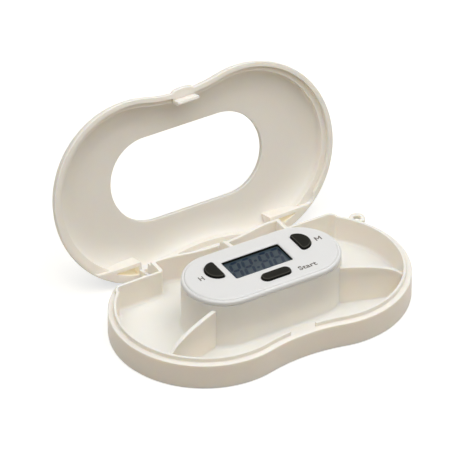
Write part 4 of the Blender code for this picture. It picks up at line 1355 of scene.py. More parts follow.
    def _dividers(self, tray: Solid) -> None:
        """The three dividers between the housing and the wall."""
        box, timer = self.box, self.timer
        top_z = box.lid_plate_z - box.seat_gap - self.divider_drop
        x = timer.half + timer.radius * math.cos(self.divider_turn)
        y = -timer.radius * math.sin(self.divider_turn)
        for way, heading in ((-1, math.pi + self.divider_splay), (1, -self.divider_splay)):
            start_x = timer.centre_x + way * x
            length = box.reach_to_lobe(way * start_x, y, -self.divider_splay, box.lobe_radius - box.inner_wall)
            place = Matrix.Translation((start_x, y, 0)) @ Matrix.Rotation(heading, 4, "Z")
            tray.join(self._blade(length, top_z, self.side_shares, self.side_steps).placed(place))
        length = box.waist_half_width - box.inner_wall - timer.radius
        place = Matrix.Translation((0, timer.radius, 0)) @ Matrix.Rotation(QUARTER, 4, "Z")
        tray.join(self._blade(length, top_z, self.rear_shares, self.rear_steps).placed(place))

    def _eye(self, tray: Solid) -> None:
        """The eye for a cord: a ring swept round its hole by Geometry Nodes, on the right lobe."""
        reach = self.box.lobe_radius + self.eye_out
        x, y = self.box.lobe_x + reach * math.cos(self.eye_turn), reach * math.sin(self.eye_turn)
        rule = GeometryRule("cord_eye")
        width = rule.size("Ring width", self.eye_radius - self.eye_hole)
        height = rule.size("Ring height", self.eye_thickness)
        middle = rule.size("Ring radius", (self.eye_radius + self.eye_hole) / 2)
        corner = rule.size("Edge radius", self.eye_edge)
        bead = rule.soft_box(width, height, corner, self.eye_edge_steps)
        ring = rule.swept(rule.ring(middle, self.eye_steps), bead)
        middle_z = self.box.rim_z - self.eye_drop - self.eye_thickness / 2
        tray.join(rule.bake(rule.moved(ring, x, y, middle_z)).outward())

    def _latch_seat(self, tray: Solid) -> None:
        """The gap in the lip and the groove that the lid's tongue snaps into."""
        box, across = self.box, self.latch_half_gap
        wall_y = box.waist_half_width - box.lip_inset - box.run_gap
        low = (-across, -wall_y, box.rim_z - self.latch_depth)
        high = (across, -wall_y + self.latch_recess + box.lip_thickness, box.lip_top_z + OVERRUN)
        barb_z = box.lid_rim_z - self.tongue_depth + self.tongue_thickness / 2
        half, groove = self.latch_groove_height / 2, self.latch_groove
        groove_low = (-across, -wall_y - groove, barb_z - half)
        # The lip's outer side stands just before the seat, so a third block takes it away.
        film_low = (-across, -wall_y - groove, box.rim_z + self.lip_foot / 8)
        tray.cut(
            Solid.block("seat", low, high),
            Solid.block("groove", groove_low, (across, -wall_y + groove, barb_z + half)),
            Solid.block("film", film_low, high),
        )


@dataclass
class Lid:
    """The lid: a domed shell with a window, hinge arms and pockets, latch tongue and thumb tab."""

    box: BoxSizes
    timer: TimerSizes
    skirt: float = 0.0018
    wall: float = 0.0038
    rim_edge: float = 0.0003
    dome_reach: float = 0.012
    dome_upright: float = 0.0004
    inner_reach: float = 0.0092
    inner_dome: float = 0.003
    pocket_skirt: float = 0.003
    pocket_reach: float = 0.011
    pocket_dome: float = 0.0046
    swing_relief: float = 0.0004
    window_gap: float = 0.00065
    window_end_gap: float = 0.0005
    window_shift: float = 0.0004
    window_edge: float = 0.0003
    window_steps: int = 48
    tab_half: float = 0.00475
    tab_out: float = 0.0013
    tab_thickness: float = 0.0019
    tab_edge: float = 0.0004
    tab_steps: int = 24
    tongue_half: float = 0.0044
    tongue_thickness: float = 0.0013
    tongue_depth: float = 0.0032
    barb: float = 0.0002
    barb_steps: int = 8
    root_drop: float = 0.0003
    mask_play: float = 0.0001
    dome_steps: int = 22

    def build(self) -> bpy.types.Object:
        """Builds the lid closed, then opens it as in the photo, and dresses it."""
        box = self.box
        lid = self._dome()
        lid.cut(*self._inside())
        for way in (-1, 1):
            lid.cut(self._pocket(way))
        under = box.lid_rim_z - OVERRUN
        low = (-box.arm_x, box.hinge_wall_y - box.hinge_wall, under)
        lid.cut(Solid.block("relief", low, (box.arm_x, box.side, box.lid_rim_z + self.swing_relief)))
        for way in (-1, 1):
            low_x, high_x = side_span(way, box.arm_x, box.arm_end_x)
            lid.join(Solid.bar("arm", self._arm(), low_x, high_x))
            bore = circle(box.axis_y, box.axis_z, box.pin_radius + box.run_gap)
            lid.cut(Solid.bar("arm bore", bore, low_x - OVERRUN, high_x + OVERRUN))
        lid.cut(self._window())
        lid.join(self._thumb_tab(), Solid.bar("tongue", self._tongue(), -self.tongue_half, self.tongue_half))
        lid.join(self._tongue_root())
        axis = Matrix.Translation((0, box.axis_y, box.axis_z))
        lid.placed(axis @ Matrix.Rotation(-box.open_angle, 4, "X") @ axis.inverted())
        return lid.dress(self._finish().material(), "lid", "ivory_plastic", "lid_shell")

    def _finish(self) -> PaintedGlowPlastic:
        """The lid's finish, with the place of its pockets, where a warm glow is painted."""
        box, plain = self.box, Finishes.ivory
        # The pockets get a painted glow, an emission in place of light through their thin walls.
        return PaintedGlowPlastic(
            "satin ivory of the lid", plain.colour, plain.roughness, glow=plain.glow, glow_reach=plain.glow_reach,
            pocket_x=box.arm_end_x - self.mask_play, pocket_y=box.partition_y + box.hinge_wall - self.mask_play,
            pocket_z=box.lid_rim_z + self.mask_play * 2, lobe_x=box.lobe_x,
            reach=box.lobe_radius - self.pocket_skirt + self.mask_play,
            axis=(box.axis_y, box.axis_z), open_angle=box.open_angle,
        )

    def _tongue_root(self) -> Solid:
        """The web that ties the tongue to the rim, above the tray's rim when closed."""
        box = self.box
        low_y = -(box.waist_half_width - self.skirt / 2)
        high_y = -(box.waist_half_width - box.lip_inset - box.seat_gap) + self.tongue_thickness / 2
        low = (-self.tongue_half, low_y, box.lid_rim_z + self.root_drop)
        return Solid.block("root", low, (self.tongue_half, high_y, box.lip_top_z + box.seat_gap + self.skirt / 3))

    def _layers(self, wall: float, upright: float, low_z: float, high_z: float, reach: float) -> Layers:
        """Layers of a dome over the plan: upright sides, then a quarter ellipse to a flat top.

        Args:
            wall: How far inside the outline it starts.
            upright: Height of its upright side.
            low_z, high_z: Its heights.
            reach: How far in the curve runs.

        Returns:
            The (outline, height) layers.
        """
        layers, rise = [], high_z - low_z - upright
        for i in range(self.dome_steps + 1):
            turn = QUARTER * i / self.dome_steps
            inset = wall + reach * (1 - math.cos(turn))
            layers.append((self.box.outline(inset), low_z + upright + rise * math.sin(turn)))
        return layers

    def _dome(self) -> Solid:
        """The outside."""
        box = self.box
        foot = lower_edge(box.outline, box.lid_rim_z, self.rim_edge, steps=3)
        dome = self._layers(0, self.dome_upright, box.lid_rim_z, box.lid_top_z, self.dome_reach)
        return Solid.loft("lid_moulding", *foot, *dome)

    def _inside(self) -> tuple[Solid, Solid]:
        """The cutters of the ledge that goes over the tray's lip, and of the hollow behind it."""
        box = self.box
        under = box.lid_rim_z - OVERRUN
        upright = box.lid_plate_z - self.inner_dome - under
        growth = box.lip_thickness + box.seat_gap
        ledge = Solid.prism("ledge", box.hollow(-growth, box.arm_x - growth), under, box.lip_top_z + box.seat_gap)
        inner = self._layers(self.wall, upright, under, box.lid_plate_z, self.inner_reach)
        hollow = Solid.loft("hollow", (box.outline(self.wall), under), *inner)
        for way in (-1, 1):
            low_x, high_x = side_span(way, box.arm_x, box.side + OVERRUN)
            low, high = (low_x, box.partition_y, under - OVERRUN), (high_x, box.side, box.lid_top_z + OVERRUN)
            hollow.cut(Solid.block("corner", low, high))
        return ledge, hollow

    def _pocket(self, way: int) -> Solid:
        """The cutter of the pocket behind a hinge corner."""
        box = self.box
        under = box.lid_rim_z - OVERRUN
        upright = box.lid_plate_z - self.pocket_dome - under
        layers = self._layers(self.pocket_skirt, upright, under, box.lid_plate_z, self.pocket_reach)
        pocket = Solid.loft("pocket", (box.outline(self.pocket_skirt), under), *layers)
        low_x, high_x = side_span(way, box.arm_end_x, box.side + OVERRUN)
        low = (low_x, box.partition_y + box.hinge_wall, under - OVERRUN)
        return pocket.keep(Solid.block("keep", low, (high_x, box.side, box.lid_top_z + OVERRUN)))

    def _arm(self) -> Plan:
        """Side view of a hinge arm."""
        box = self.box
        under = arc(box.axis_y, box.axis_z, box.barrel_radius, -math.pi, 0, steps=28)
        root_z = box.lid_rim_z + self.skirt / 2
        return [(box.axis_y - box.barrel_radius, root_z), *under, (box.axis_y + box.barrel_radius, root_z)]

    def _window(self) -> Solid:
        """The cutter of the window, rounded at both faces of the plate."""
        box, timer, edge = self.box, self.timer, self.window_edge
        radius = timer.radius + self.window_gap
        half = timer.half + timer.radius + self.window_end_gap - radius

        def plan(grow: float) -> Plan:
            """The window, grown all round."""
            return stadium(half, radius + grow, timer.centre_x, -self.window_shift, self.window_steps)

        low, high = box.lid_plate_z, box.lid_top_z
        layers = [(plan(edge), low - OVERRUN)]
        layers += [(plan(edge - along), low + inn) for inn, along in rounding(edge)]
        layers += upper_edge(plan, high, edge)
        return Solid.loft("window", *layers, (plan(edge), high + OVERRUN))

    def _thumb_tab(self) -> Solid:
        """The small lip on the front edge that a thumb lifts."""
        half_width, edge = self.box.waist_half_width, self.tab_edge

        def plan(inset: float) -> Plan:
            """The tab's outline: a low round swell."""
            front, back = -(half_width + self.tab_out) + inset, -(half_width - self.skirt / 2)
            reach = self.tab_half - inset
            swell = []
            for i in range(self.tab_steps + 1):
                across = -1 + 2 * i / self.tab_steps
                rise = (1 - abs(across) ** 4) * self.tab_out
                swell.append((across * reach, front + self.tab_out - rise))
            return [(-reach, back), *swell, (reach, back)]

        low, high = self.box.lid_rim_z, self.box.lid_rim_z + self.tab_thickness
        layers = lower_edge(plan, low, edge, steps=4) + upper_edge(plan, high, edge, steps=4)
        return Solid.loft("thumb tab", *layers)

    def _tongue(self) -> Plan:
        """Side view of the latch tongue, with a rounded barb towards the wall."""
        box, thick = self.box, self.tongue_thickness
        outer = -(box.waist_half_width - box.lip_inset - box.seat_gap)
        inner, foot_z = outer + thick, box.lid_rim_z - self.tongue_depth
        barb_z, root_z = foot_z + thick / 2, box.lip_top_z + box.seat_gap + self.skirt / 2
        barb = []
        for i in range(self.barb_steps - 1):
            turn = math.pi * i / self.barb_steps
            barb.append((outer - self.barb * math.sin(turn), barb_z + thick / 2 * math.cos(turn)))
        turn, small = QUARTER / 2, thick / 4
        toe = arc(outer + thick / 2, foot_z + small, small, -3 * turn, -turn, steps=6)
        return [(inner, root_z), (outer, root_z), *barb, *toe, (inner, barb_z)]


@dataclass
class HingePins:
    """The two steel pins of the hinge, made by one Geometry Nodes tree."""

    box: BoxSizes
    end_edge: float = 0.00025
    steps: int = 40

    def build(self) -> bpy.types.Object:
        """Builds and dresses both pins."""
        box = self.box
        start, stop = box.pocket_x - box.pin_bed + box.run_gap, box.cheek_x + box.cheek
        rule = GeometryRule("hinge_pins")
        length = rule.size("Pin length", stop - start)
        radius, edge = rule.size("Pin radius", box.pin_radius), rule.size("End rounding", self.end_edge)
        middle = rule.size("Pin centre", (start + stop) / 2)
        axis_y, axis_z = rule.size("Axis Y", box.axis_y), rule.size("Axis Z", box.axis_z)
        body = rule.cylinder(radius, length - edge * 2, self.steps)
        core = rule.cylinder(radius - edge, length, self.steps)
        whole = rule.node("GeometryNodeConvexHull", {}, {"Geometry": rule.joined(body, core)})
        places = rule.line(rule.vector(middle * -1, axis_y, axis_z), rule.vector(middle * 2))
        steel = Finishes.steel.material()
        pins = rule.bake(rule.instances(places, whole, (0.0, QUARTER, 0.0)), steel)
        return pins.dress(steel, "tray", "steel", "hinge_pin_left", "hinge_pin_right")


@dataclass
class TimerCover:
    """The white cover: a raised face with soft edges in a lower rounded ledge, and its openings."""

    timer: TimerSizes
    buttons: "ButtonPlans"
    outer_edge: float = 0.0009
    face_edge: float = 0.0009
    groove: float = 0.00025
    groove_depth: float = 0.0001
    groove_shares: tuple = (0.0, 0.35, 0.7, 1.0)
    groove_mouth: float = 1.1
    opening_edge: float = 0.00045
    opening_shoulder: float = 0.001
    hole_edge: float = 0.00015
    skirt: float = 0.0014
    skirt_drop: float = 0.0038
    post_radius: float = 0.0022

    def build(self) -> bpy.types.Object:
        """Builds and dresses the cover."""
        timer = self.timer
        shift = Matrix.Translation((timer.centre_x, 0, 0))
        cover = rounded_slab("timer_top", timer.half, timer.radius, self.outer_edge, timer.foot_z, timer.ledge_z)
        cover.placed(shift).cut(self._groove())
        radius, foot_z = timer.radius - timer.face_inset, timer.foot_z + timer.side / 2
        face = rounded_slab("face", timer.half, radius, self.face_edge, foot_z, timer.face_z)
        cover.join(face.placed(shift))
        skirt_z = timer.foot_z - self.skirt_drop
        outer = timer.bore - timer.seat_gap
        cover.join(Solid.prism("skirt", timer.stadium(outer), skirt_z, timer.plate_z))
        cover.cut(Solid.prism("inside", timer.stadium(outer - self.skirt), skirt_z - OVERRUN, timer.plate_z))
        for way in (-1, 1):
            post = circle(way * timer.post_x, timer.post_y, self.post_radius)
            cover.join(Solid.prism("post", post, timer.base_plate + timer.seat_gap, timer.plate_z + timer.plate / 2))
        cover.cut(self._display_opening(), self._frame_seat())
        for plan in self.buttons.plans():
            cover.cut(self._button_hole(plan))
        return cover.dress(Finishes.white.material(), "tray", "white_plastic", "timer_cover")

    def _groove(self) -> Solid:
        """The cutter of the fine groove at the foot of the raised face."""
        timer, wide, deep = self.timer, self.groove, self.groove_depth
        radius = timer.radius - timer.face_inset
        layers = [(timer.stadium(radius - wide * 2), timer.ledge_z - deep)]
        for share in self.groove_shares:
            layers.append((timer.stadium(radius + wide * share), timer.ledge_z - deep * (1 - share**2)))
        layers.append((timer.stadium(radius + wide * self.groove_mouth), timer.ledge_z + OVERRUN))
        return Solid.loft("groove", *layers)

    def _display_opening(self) -> Solid:
        """The cutter of the display's opening, whose upper edge is a broad soft shoulder."""
        timer, edge = self.timer, self.opening_edge
        corner, wide = timer.display_corner, self.opening_shoulder
        layers = [(timer.opening(0, corner), timer.plate_z - OVERRUN)]
        for inn, along in rounding(edge, steps=8):
            out = inn * wide / edge
            layers.append((timer.opening(out, corner + out), timer.face_z - edge + along))
        return Solid.loft("opening", *layers, (timer.opening(wide, corner + wide), timer.face_z + OVERRUN))

    def _frame_seat(self) -> Solid:
        """The cutter of the seat that holds the display's frame from below."""
        timer = self.timer
        grow = timer.frame_wall + timer.seat_gap
        plan = timer.opening(grow, timer.display_corner + timer.frame_wall)
        return Solid.prism("frame seat", plan, timer.plate_z - OVERRUN, timer.face_z - timer.thin_edge)

    def _button_hole(self, plan: Callable[[float], Plan]) -> Solid:
        """The cutter of a button's hole, with a soft upper edge."""
        timer, edge, gap = self.timer, self.hole_edge, self.timer.button_gap
        sides = upper_edge(lambda grow: plan(gap + grow), timer.face_z, edge, steps=3)
        low, high = (plan(gap), timer.plate_z - OVERRUN), (plan(gap + edge), timer.face_z + OVERRUN)
        return Solid.loft("hole", low, *sides, high)


class ButtonKind(Enum):
    """The three buttons, with the word printed beside each."""

    HOUR = "H"
    MINUTE = "M"
    START = "Start"


@dataclass(frozen=True)
class ButtonPlans:
    """The outlines of the three buttons."""

    reach: float = 0.0053
    half: float = 0.00475
    corner: float = 0.001
    hour_x: float = -0.0148
    hour_y: float = 0.004
    minute_x: float = 0.0171
    minute_y: float = 0.00395
    start_x: float = 0.0012
    start_y: float = -0.00875
    start_half: float = 0.0037
    start_radius: float = 0.0021
    steps: int = 36
    corner_steps: int = 8
    end_steps: int = 24

    def _side(self, x: float, y: float, way: int, grow: float) -> Plan:
        """A D: flat on the display's side, round on the outer side.

        Args:
            x, y: Middle of the flat side.
            way: -1 where the round side is to the left.
            grow: How far it is grown all round.

        Returns:
            The outline, counter-clockwise.
        """
        corner, half = self.corner + grow, self.half + grow
        reach = self.reach - self.corner + grow
        points = [
            (self.corner + reach * math.cos(turn), half * math.sin(turn))
            for turn in (-QUARTER + math.pi * i / self.steps for i in range(self.steps + 1))
        ]
        straight = half - corner
        points += arc(self.corner, straight, corner, QUARTER, 2 * QUARTER, self.corner_steps)[1:]
        points += arc(self.corner, -straight, corner, 2 * QUARTER, 3 * QUARTER, self.corner_steps)[:-1]
        placed = [(x + way * px, y + py) for px, py in points]
        return placed if way > 0 else placed[::-1]

    def plan(self, kind: ButtonKind, grow: float) -> Plan:
        """The outline of one button, grown all round."""
        if kind is ButtonKind.HOUR:
            return self._side(self.hour_x, self.hour_y, -1, grow)
        if kind is ButtonKind.MINUTE:
            return self._side(self.minute_x, self.minute_y, 1, grow)
        radius = self.start_radius + grow
        return stadium(self.start_half, radius, self.start_x, self.start_y, self.end_steps)

    def plans(self) -> list[Callable[[float], Plan]]:
        """The outline of each button as a function of its growth."""
        return [lambda grow, kind=kind: self.plan(kind, grow) for kind in ButtonKind]


@dataclass
class Buttons:
    """The three black buttons: soft cap, slightly crowned, with a flange and a plunger below."""

    timer: TimerSizes
    plans: ButtonPlans
    proud: float = 0.001
    flange: float = 0.001
    flange_out: float = 0.0006
    cap_edge: float = 0.00045
    crown: float = 0.0001
    plunger_radius: float = 0.0012
    plunger_z: float = 0.0177
    plunger_steps: int = 24
    crown_shares: tuple = (0.75, 0.5, 0.25, 0.05)

    def build(self) -> list[bpy.types.Object]:
        """Builds and dresses the buttons."""
        made = []
        # The caps' finish paints shade on their sides and a highlight along their edge.
        finish = CapFinish("rubbed black cap", self.timer.face_z, self.proud)
        for kind in ButtonKind:
            name = kind.name.lower()
            button = self._button(f"button_cap_{name}", kind)
            made.append(button.dress(finish.material(), f"{name}_button", "black_plastic", f"button_{name}"))
        return made

    def _button(self, name: str, kind: ButtonKind) -> Solid:
        """One button."""
        timer = self.timer
        top = timer.face_z + self.proud
        flange_top = timer.plate_z - timer.seat_gap
        flange_z = flange_top - self.flange

        def plan(inset: float) -> Plan:
            """The cap's outline that far inside its side."""
            return self.plans.plan(kind, -inset)

        layers = [(plan(-self.flange_out), flange_z), (plan(-self.flange_out), flange_top), (plan(0), flange_top)]
        layers += upper_edge(plan, top - self.crown, self.cap_edge, steps=7)
        outline = plan(self.cap_edge)
        x, y = self._middle(kind)
        for share in self.crown_shares:
            shrunk = [(x + (px - x) * share, y + (py - y) * share) for px, py in outline]
            layers.append((shrunk, top - self.crown * share**2))
        foot = circle(x, y, self.plunger_radius, self.plunger_steps)
        plunger = Solid.prism("plunger", foot, self.plunger_z, flange_z + self.flange / 2)
        return Solid.loft(name, *layers).join(plunger)

    def _middle(self, kind: ButtonKind) -> tuple[float, float]:
        """The middle of a button."""
        outline = self.plans.plan(kind, 0)
        across, along = [x for x, _ in outline], [y for _, y in outline]
        return (min(across) + max(across)) / 2, (min(along) + max(along)) / 2


@dataclass
class Display:
    """The display: black frame, glass, and the segments of four digits and a colon."""

    timer: TimerSizes
    digit_width: float = 0.00315
    digit_height: float = 0.0088
    pair_spacing: float = 0.00495
    middle_spacing: float = 0.0069
    segment_width: float = 0.0011
    segment_gap: float = 0.00025
    colon_rise: float = 0.0040
    dot_share: float = 0.55
    dot_steps: int = 20
    slant: float = 0.27
    print_height: float = 0.00003
    frame_edge: float = 0.00015
    glass_edge: float = 0.00012

    def build(self) -> list[bpy.types.Object]:
        """Builds and dresses the frame, the glass and the segments."""
        return [self._frame(), self._glass(), self._segments()]

    def _frame(self) -> bpy.types.Object:
        """The black frame round the glass."""
        timer, corner, edge = self.timer, self.timer.display_corner, self.frame_edge
        top, low = timer.frame_top_z, timer.frame_top_z - timer.frame_height
        outside = timer.opening(timer.frame_wall, corner + timer.frame_wall)
        bezel = Solid.prism("display_bezel", outside, low, top)

        def plan(grow: float) -> Plan:
            """The view through the frame, grown all round."""
            return timer.opening(grow, corner + grow)

        sides = upper_edge(plan, top, edge, steps=3)
        bezel.cut(Solid.loft("view", (plan(0), low - OVERRUN), *sides, (plan(edge), top + OVERRUN)))
        return bezel.dress(Finishes.black.material(), "tray", "black_plastic", "display_frame")

    def _glass(self) -> bpy.types.Object:
        """The glass, with ground edges."""
        timer, edge, corner = self.timer, self.glass_edge, self.timer.display_corner
        top = timer.glass_top_z

        def plan(inset: float) -> Plan:
            """The glass that far inside its edge."""
            return timer.opening(timer.glass_border - inset, corner)

        layers = ((plan(edge), top - timer.glass), (plan(0), top - timer.glass + edge), (plan(0), top - edge))
        pane = Solid.loft("display_pane", *layers, (plan(edge), top))
        return pane.dress(Finishes.glass.material(), "tray", "display_glass", "display_glass")

    def _segments(self) -> bpy.types.Object:
        """Four digits and a colon, each segment an instance of one bar, slanted and laid on the glass."""
        rule = GeometryRule("display_digits", self._segment_mesh())
        width, height = rule.size("Digit width", self.digit_width), rule.size("Digit height", self.digit_height)
        pair = rule.size("Pair spacing", self.pair_spacing)
        middle = rule.size("Middle spacing", self.middle_spacing)
        slant, rise = rule.size("Slant", self.slant), rule.size("Colon rise", self.colon_rise)
        unit = rule.base_geometry()
        lying, upright = rule.scaled(unit, width), rule.scaled(unit, height / 2)
        places = rule.line(rule.vector(0.0, height * -0.5), rule.vector(0.0, height / 2), 3)
        bars = rule.instances(places, lying)
        values = {"Size X": width, "Size Y": height / 2, "Vertices X": 2, "Vertices Y": 2}
        posts = rule.instances(rule.node("GeometryNodeMeshGrid", {}, values), upright, (0.0, 0.0, QUARTER))
        pairs = [rule.line(rule.vector(middle * (way / 2)), rule.vector(pair * way)) for way in (-1, 1)]
        digits = rule.instances(rule.joined(*pairs), rule.joined(bars, posts))
        dots = rule.line(rule.vector(0.0, rise * -0.5), rule.vector(0.0, rise))
        colon = rule.instances(dots, rule.cylinder(self.segment_width * self.dot_share, 1.0, self.dot_steps))
        real = rule.node("GeometryNodeRealizeInstances", {}, {"Geometry": rule.joined(digits, colon)})
        x, y, z = rule.graph.parts(rule.node("GeometryNodeInputPosition", {}, {}))
        lean = rule.vector(x + y * slant, y, z * self.print_height)
        leant = rule.node("GeometryNodeSetPosition", {}, {"Geometry": real, "Position": lean})
        timer, finish = self.timer, Finishes.segment.material()
        place = Matrix.Translation((timer.display_x, timer.display_y, timer.glass_top_z + self.print_height / 2))
        return rule.bake(leant, finish).outward().placed(place).dress(finish, "tray", "display_glass")

    def _segment_mesh(self) -> bpy.types.Mesh:
        """One bar of length 1 less its gaps, with pointed ends, as a solid of height 1."""
        half = self.segment_width / 2
        mean = (self.digit_width + self.digit_height / 2) / 2
        tip, neck = 0.5 - self.segment_gap / mean, 0.5 - (self.segment_gap + half) / mean
        outline = [(-tip, 0), (-neck, -half), (neck, -half), (tip, 0), (neck, half), (-neck, half)]
        return Solid.prism("segment", outline, -0.5, 0.5).released()


@dataclass
class Printing:
    """The words beside the buttons, printed on the face."""

    timer: TimerSizes
    ink: float = 0.00002
    weight: float = 0.00007
    m_dip: float = 0.5
    m_stroke: float = 0.2
    m_side: float = 0.8
    m_crook: float = 1.7
    m_point: float = 1.4
    cap_share: float = 0.73
    spacing: float = 1.04
    curve_steps: int = 6
    places: dict = field(default_factory=lambda: {
        ButtonKind.HOUR: (-0.0229, 0.0014, 0.0024, 0.9),
        ButtonKind.MINUTE: (0.0254, 0.0015, 0.0023, 1.05),
        ButtonKind.START: (0.0134, -0.0109, 0.0023, 1.14),
    })

    def build(self) -> bpy.types.Object:
        """Builds and dresses the three words as one piece."""
        words = [
            self._drawn_m(*place) if kind is ButtonKind.MINUTE else self._word(kind, *place)
            for kind, place in self.places.items()
        ]
        mesh = bpy.data.meshes.new("printed_words")
        with editing(mesh) as made:
            for word in words:
                made.from_mesh(word)
        piece = added("printed_words", mesh)
        return Solid(piece.name, piece).dress(Finishes.ink.material(), "tray", "black_plastic")

    def _drawn_m(self, x: float, y: float, cap_height: float, stretch: float) -> bpy.types.Mesh:
        """The M as a thin closed mesh: its middle dips only part of the way."""
        stroke, dip = self.m_stroke, self.m_dip
        side, crook = stroke * self.m_side, 1 - stroke * self.m_crook
        outline = [
            (0, 0), (stroke, 0), (stroke, crook), (0.5, dip - stroke * self.m_point), (1 - stroke, crook),
            (1 - stroke, 0), (1, 0), (1, 1), (1 - side, 1), (0.5, dip), (side, 1), (0, 1),
        ]
        width = cap_height * stretch
        placed = [(x + (across - 0.5) * width, y + along * cap_height) for across, along in outline]
        return Solid.prism("M", placed, self.timer.face_z, self.timer.face_z + self.ink).released()

    def _word(self, kind: ButtonKind, x: float, y: float, cap_height: float, stretch: float) -> bpy.types.Mesh:
        """One word as a thin closed mesh, centred on x with its foot at y."""
        curve = bpy.data.curves.new(kind.value, "FONT")
        curve.body = kind.value
        curve.align_x = "CENTER"
        curve.size = cap_height / self.cap_share
        curve.extrude = self.ink / 2
        curve.offset = self.weight
        curve.space_character = self.spacing
        curve.resolution_u = self.curve_steps
        text = added(kind.value, curve)
        mesh = evaluated(text)
        bpy.data.objects.remove(text)
        mesh.transform(Matrix.Diagonal((stretch, 1, 1, 1)))
        mesh.transform(Matrix.Translation((x, y, self.timer.face_z + self.ink / 2)))
        return mesh


@dataclass
class BasePlate:
    """The plate under the timer: screw seats, sound holes, the battery cup and its round door."""

    timer: TimerSizes
    cup_x: float = -0.012
    buzzer_x: float = 0.0125
    door_radius: float = 0.0079
    door_recess: float = 0.0012
    door_sink: float = 0.0002
    door_edge: float = 0.0003
    hub_radius: float = 0.0066
    lug_out: float = 0.0011
    lug_width: float = 0.003
    lug_thickness: float = 0.0008
    lug_turn: float = math.radians(60)
    slot_length: float = 0.009
    slot_width: float = 0.0016
    slot_depth: float = 0.0006
    cup_wall: float = 0.001
    cup_top_z: float = 0.0094
    cell_bore: float = 0.0061
    cell_z: float = 0.0036
    head_radius: float = 0.0022
    head_height: float = 0.0009
    head_sink: float = 0.0001
    head_edge: float = 0.0002
    shank_radius: float = 0.001
    screw_reach: float = 0.0087
    drive_width: float = 0.0006
    drive_depth: float = 0.0004
    drive_share: float = 0.62
    sound_hole: float = 0.0007
    sound_circle: float = 0.0032
    sound_count: int = 6
    buzzer_radius: float = 0.0075
    buzzer_ledge: float = 0.0007
    buzzer_step: float = 0.0003
    buzzer_wall: float = 0.0008
    buzzer_wall_height: float = 0.0011
    edge: float = 0.00025
    cell_radius: float = 0.0058
    contact_lift: float = 0.001
    contact_half: float = 0.002
    countersink: float = 0.0003
    cup_steps: int = 72
    buzzer_steps: int = 64
    hole_steps: int = 24

    def _round(self, radius: float) -> Plan:
        """A circle about the battery cup's axis."""
        return circle(self.cup_x, 0, radius, self.cup_steps)

    def _ring(self, radius: float) -> Plan:
        """A circle about the buzzer's axis."""
        return circle(self.buzzer_x, 0, radius, self.buzzer_steps)

    def build(self) -> list[bpy.types.Object]:
        """Builds and dresses the plate, the door and the two screws."""
        return [self._plate(), self._door(), self._screws()]

    def _plate(self) -> bpy.types.Object:
        """The plate."""
        timer, gap = self.timer, self.timer.seat_gap
        radius = timer.bore + timer.base_border - gap
        layers = lower_edge(lambda inset: timer.stadium(radius - inset), 0, self.edge, steps=3)
        plate = Solid.loft("base_plate_moulding", *layers, (timer.stadium(radius), timer.base_plate))
        inside = timer.base_plate / 2
        lug_bore = self.hub_radius + self.lug_out + gap
        buzzer = self.buzzer_radius + gap
        seat_z = timer.base_plate + self.buzzer_step
        wall_top, top = seat_z + self.buzzer_wall_height, self.cup_top_z + OVERRUN
        plate.join(
            Solid.prism("cup", self._round(lug_bore + self.cup_wall), inside, self.cup_top_z),
            Solid.prism("buzzer wall", self._ring(buzzer + self.buzzer_wall), inside, wall_top),
        )
        plate.cut(
            Solid.prism("recess", self._round(self.door_radius + gap), -OVERRUN, self.door_recess),
            Solid.prism("hub", self._round(self.hub_radius + gap), -OVERRUN, seat_z),
            Solid.prism("lugs", self._round(lug_bore), timer.base_plate, self.cell_z + gap),
            Solid.prism("cell", self._round(self.cell_bore), timer.base_plate, top),
            Solid.prism("seat", self._ring(buzzer), seat_z, top),
            Solid.prism("room", self._ring(self.buzzer_radius - self.buzzer_ledge), timer.base_plate, top),
        )
        half = self.lug_width / 2 + gap
        notch = Solid.block("notch", (-lug_bore, -half, 0), (lug_bore, half, timer.base_plate + gap))
        turn = Matrix.Translation((self.cup_x, 0, 0)) @ Matrix.Rotation(self.lug_turn, 4, "Z")
        plate.cut(notch.placed(turn))
        slot_x, slot_z = self.cup_x - self.cell_radius - gap / 2, self.cell_z + self.contact_lift - gap
        slot_low = (self.cup_x - lug_bore - self.cup_wall - OVERRUN, -self.contact_half, slot_z)
        plate.cut(Solid.block("contact slot", slot_low, (slot_x, self.contact_half, top)), self._sound_holes())
        sink = self.head_sink + self.head_height + gap
        for way in (-1, 1):
            x, y = way * timer.post_x, timer.post_y
            head, shank = circle(x, y, self.head_radius + gap), circle(x, y, self.shank_radius + gap)
            plate.cut(
                Solid.prism("head seat", head, -OVERRUN, sink),
                Solid.prism("screw hole", shank, -OVERRUN, timer.base_plate + OVERRUN),
            )
        return plate.dress(Finishes.ivory.material(), "tray", "ivory_plastic", "timer_base")

    def _sound_holes(self) -> Solid:
        """The cutter of the ring of sound holes: one countersunk pin on each point of a circle."""
        rule = GeometryRule("sound_holes")
        ring, hole = rule.size("Circle radius", self.sound_circle), rule.size("Hole radius", self.sound_hole)
        count, flare = rule.size("Count", self.sound_count), rule.size("Countersink", self.countersink)
        plate, steps = rule.size("Plate", self.timer.base_plate), self.hole_steps
        points = rule.node("GeometryNodeMeshCircle", {}, {"Vertices": count, "Radius": ring})
        pin = rule.cylinder(hole, plate * 4, steps)
        values = {"Radius Top": hole * 0.5, "Radius Bottom": hole + flare * 2, "Depth": flare * 4}
        sink = rule.node("GeometryNodeMeshCone", {}, {"Vertices": steps, **values})
        sinks = rule.instances(points, rule.moved(sink, z=flare * -1))
        holes = rule.joined(rule.instances(points, pin), sinks)
        return rule.bake(rule.moved(holes, self.buzzer_x)).outward().united()

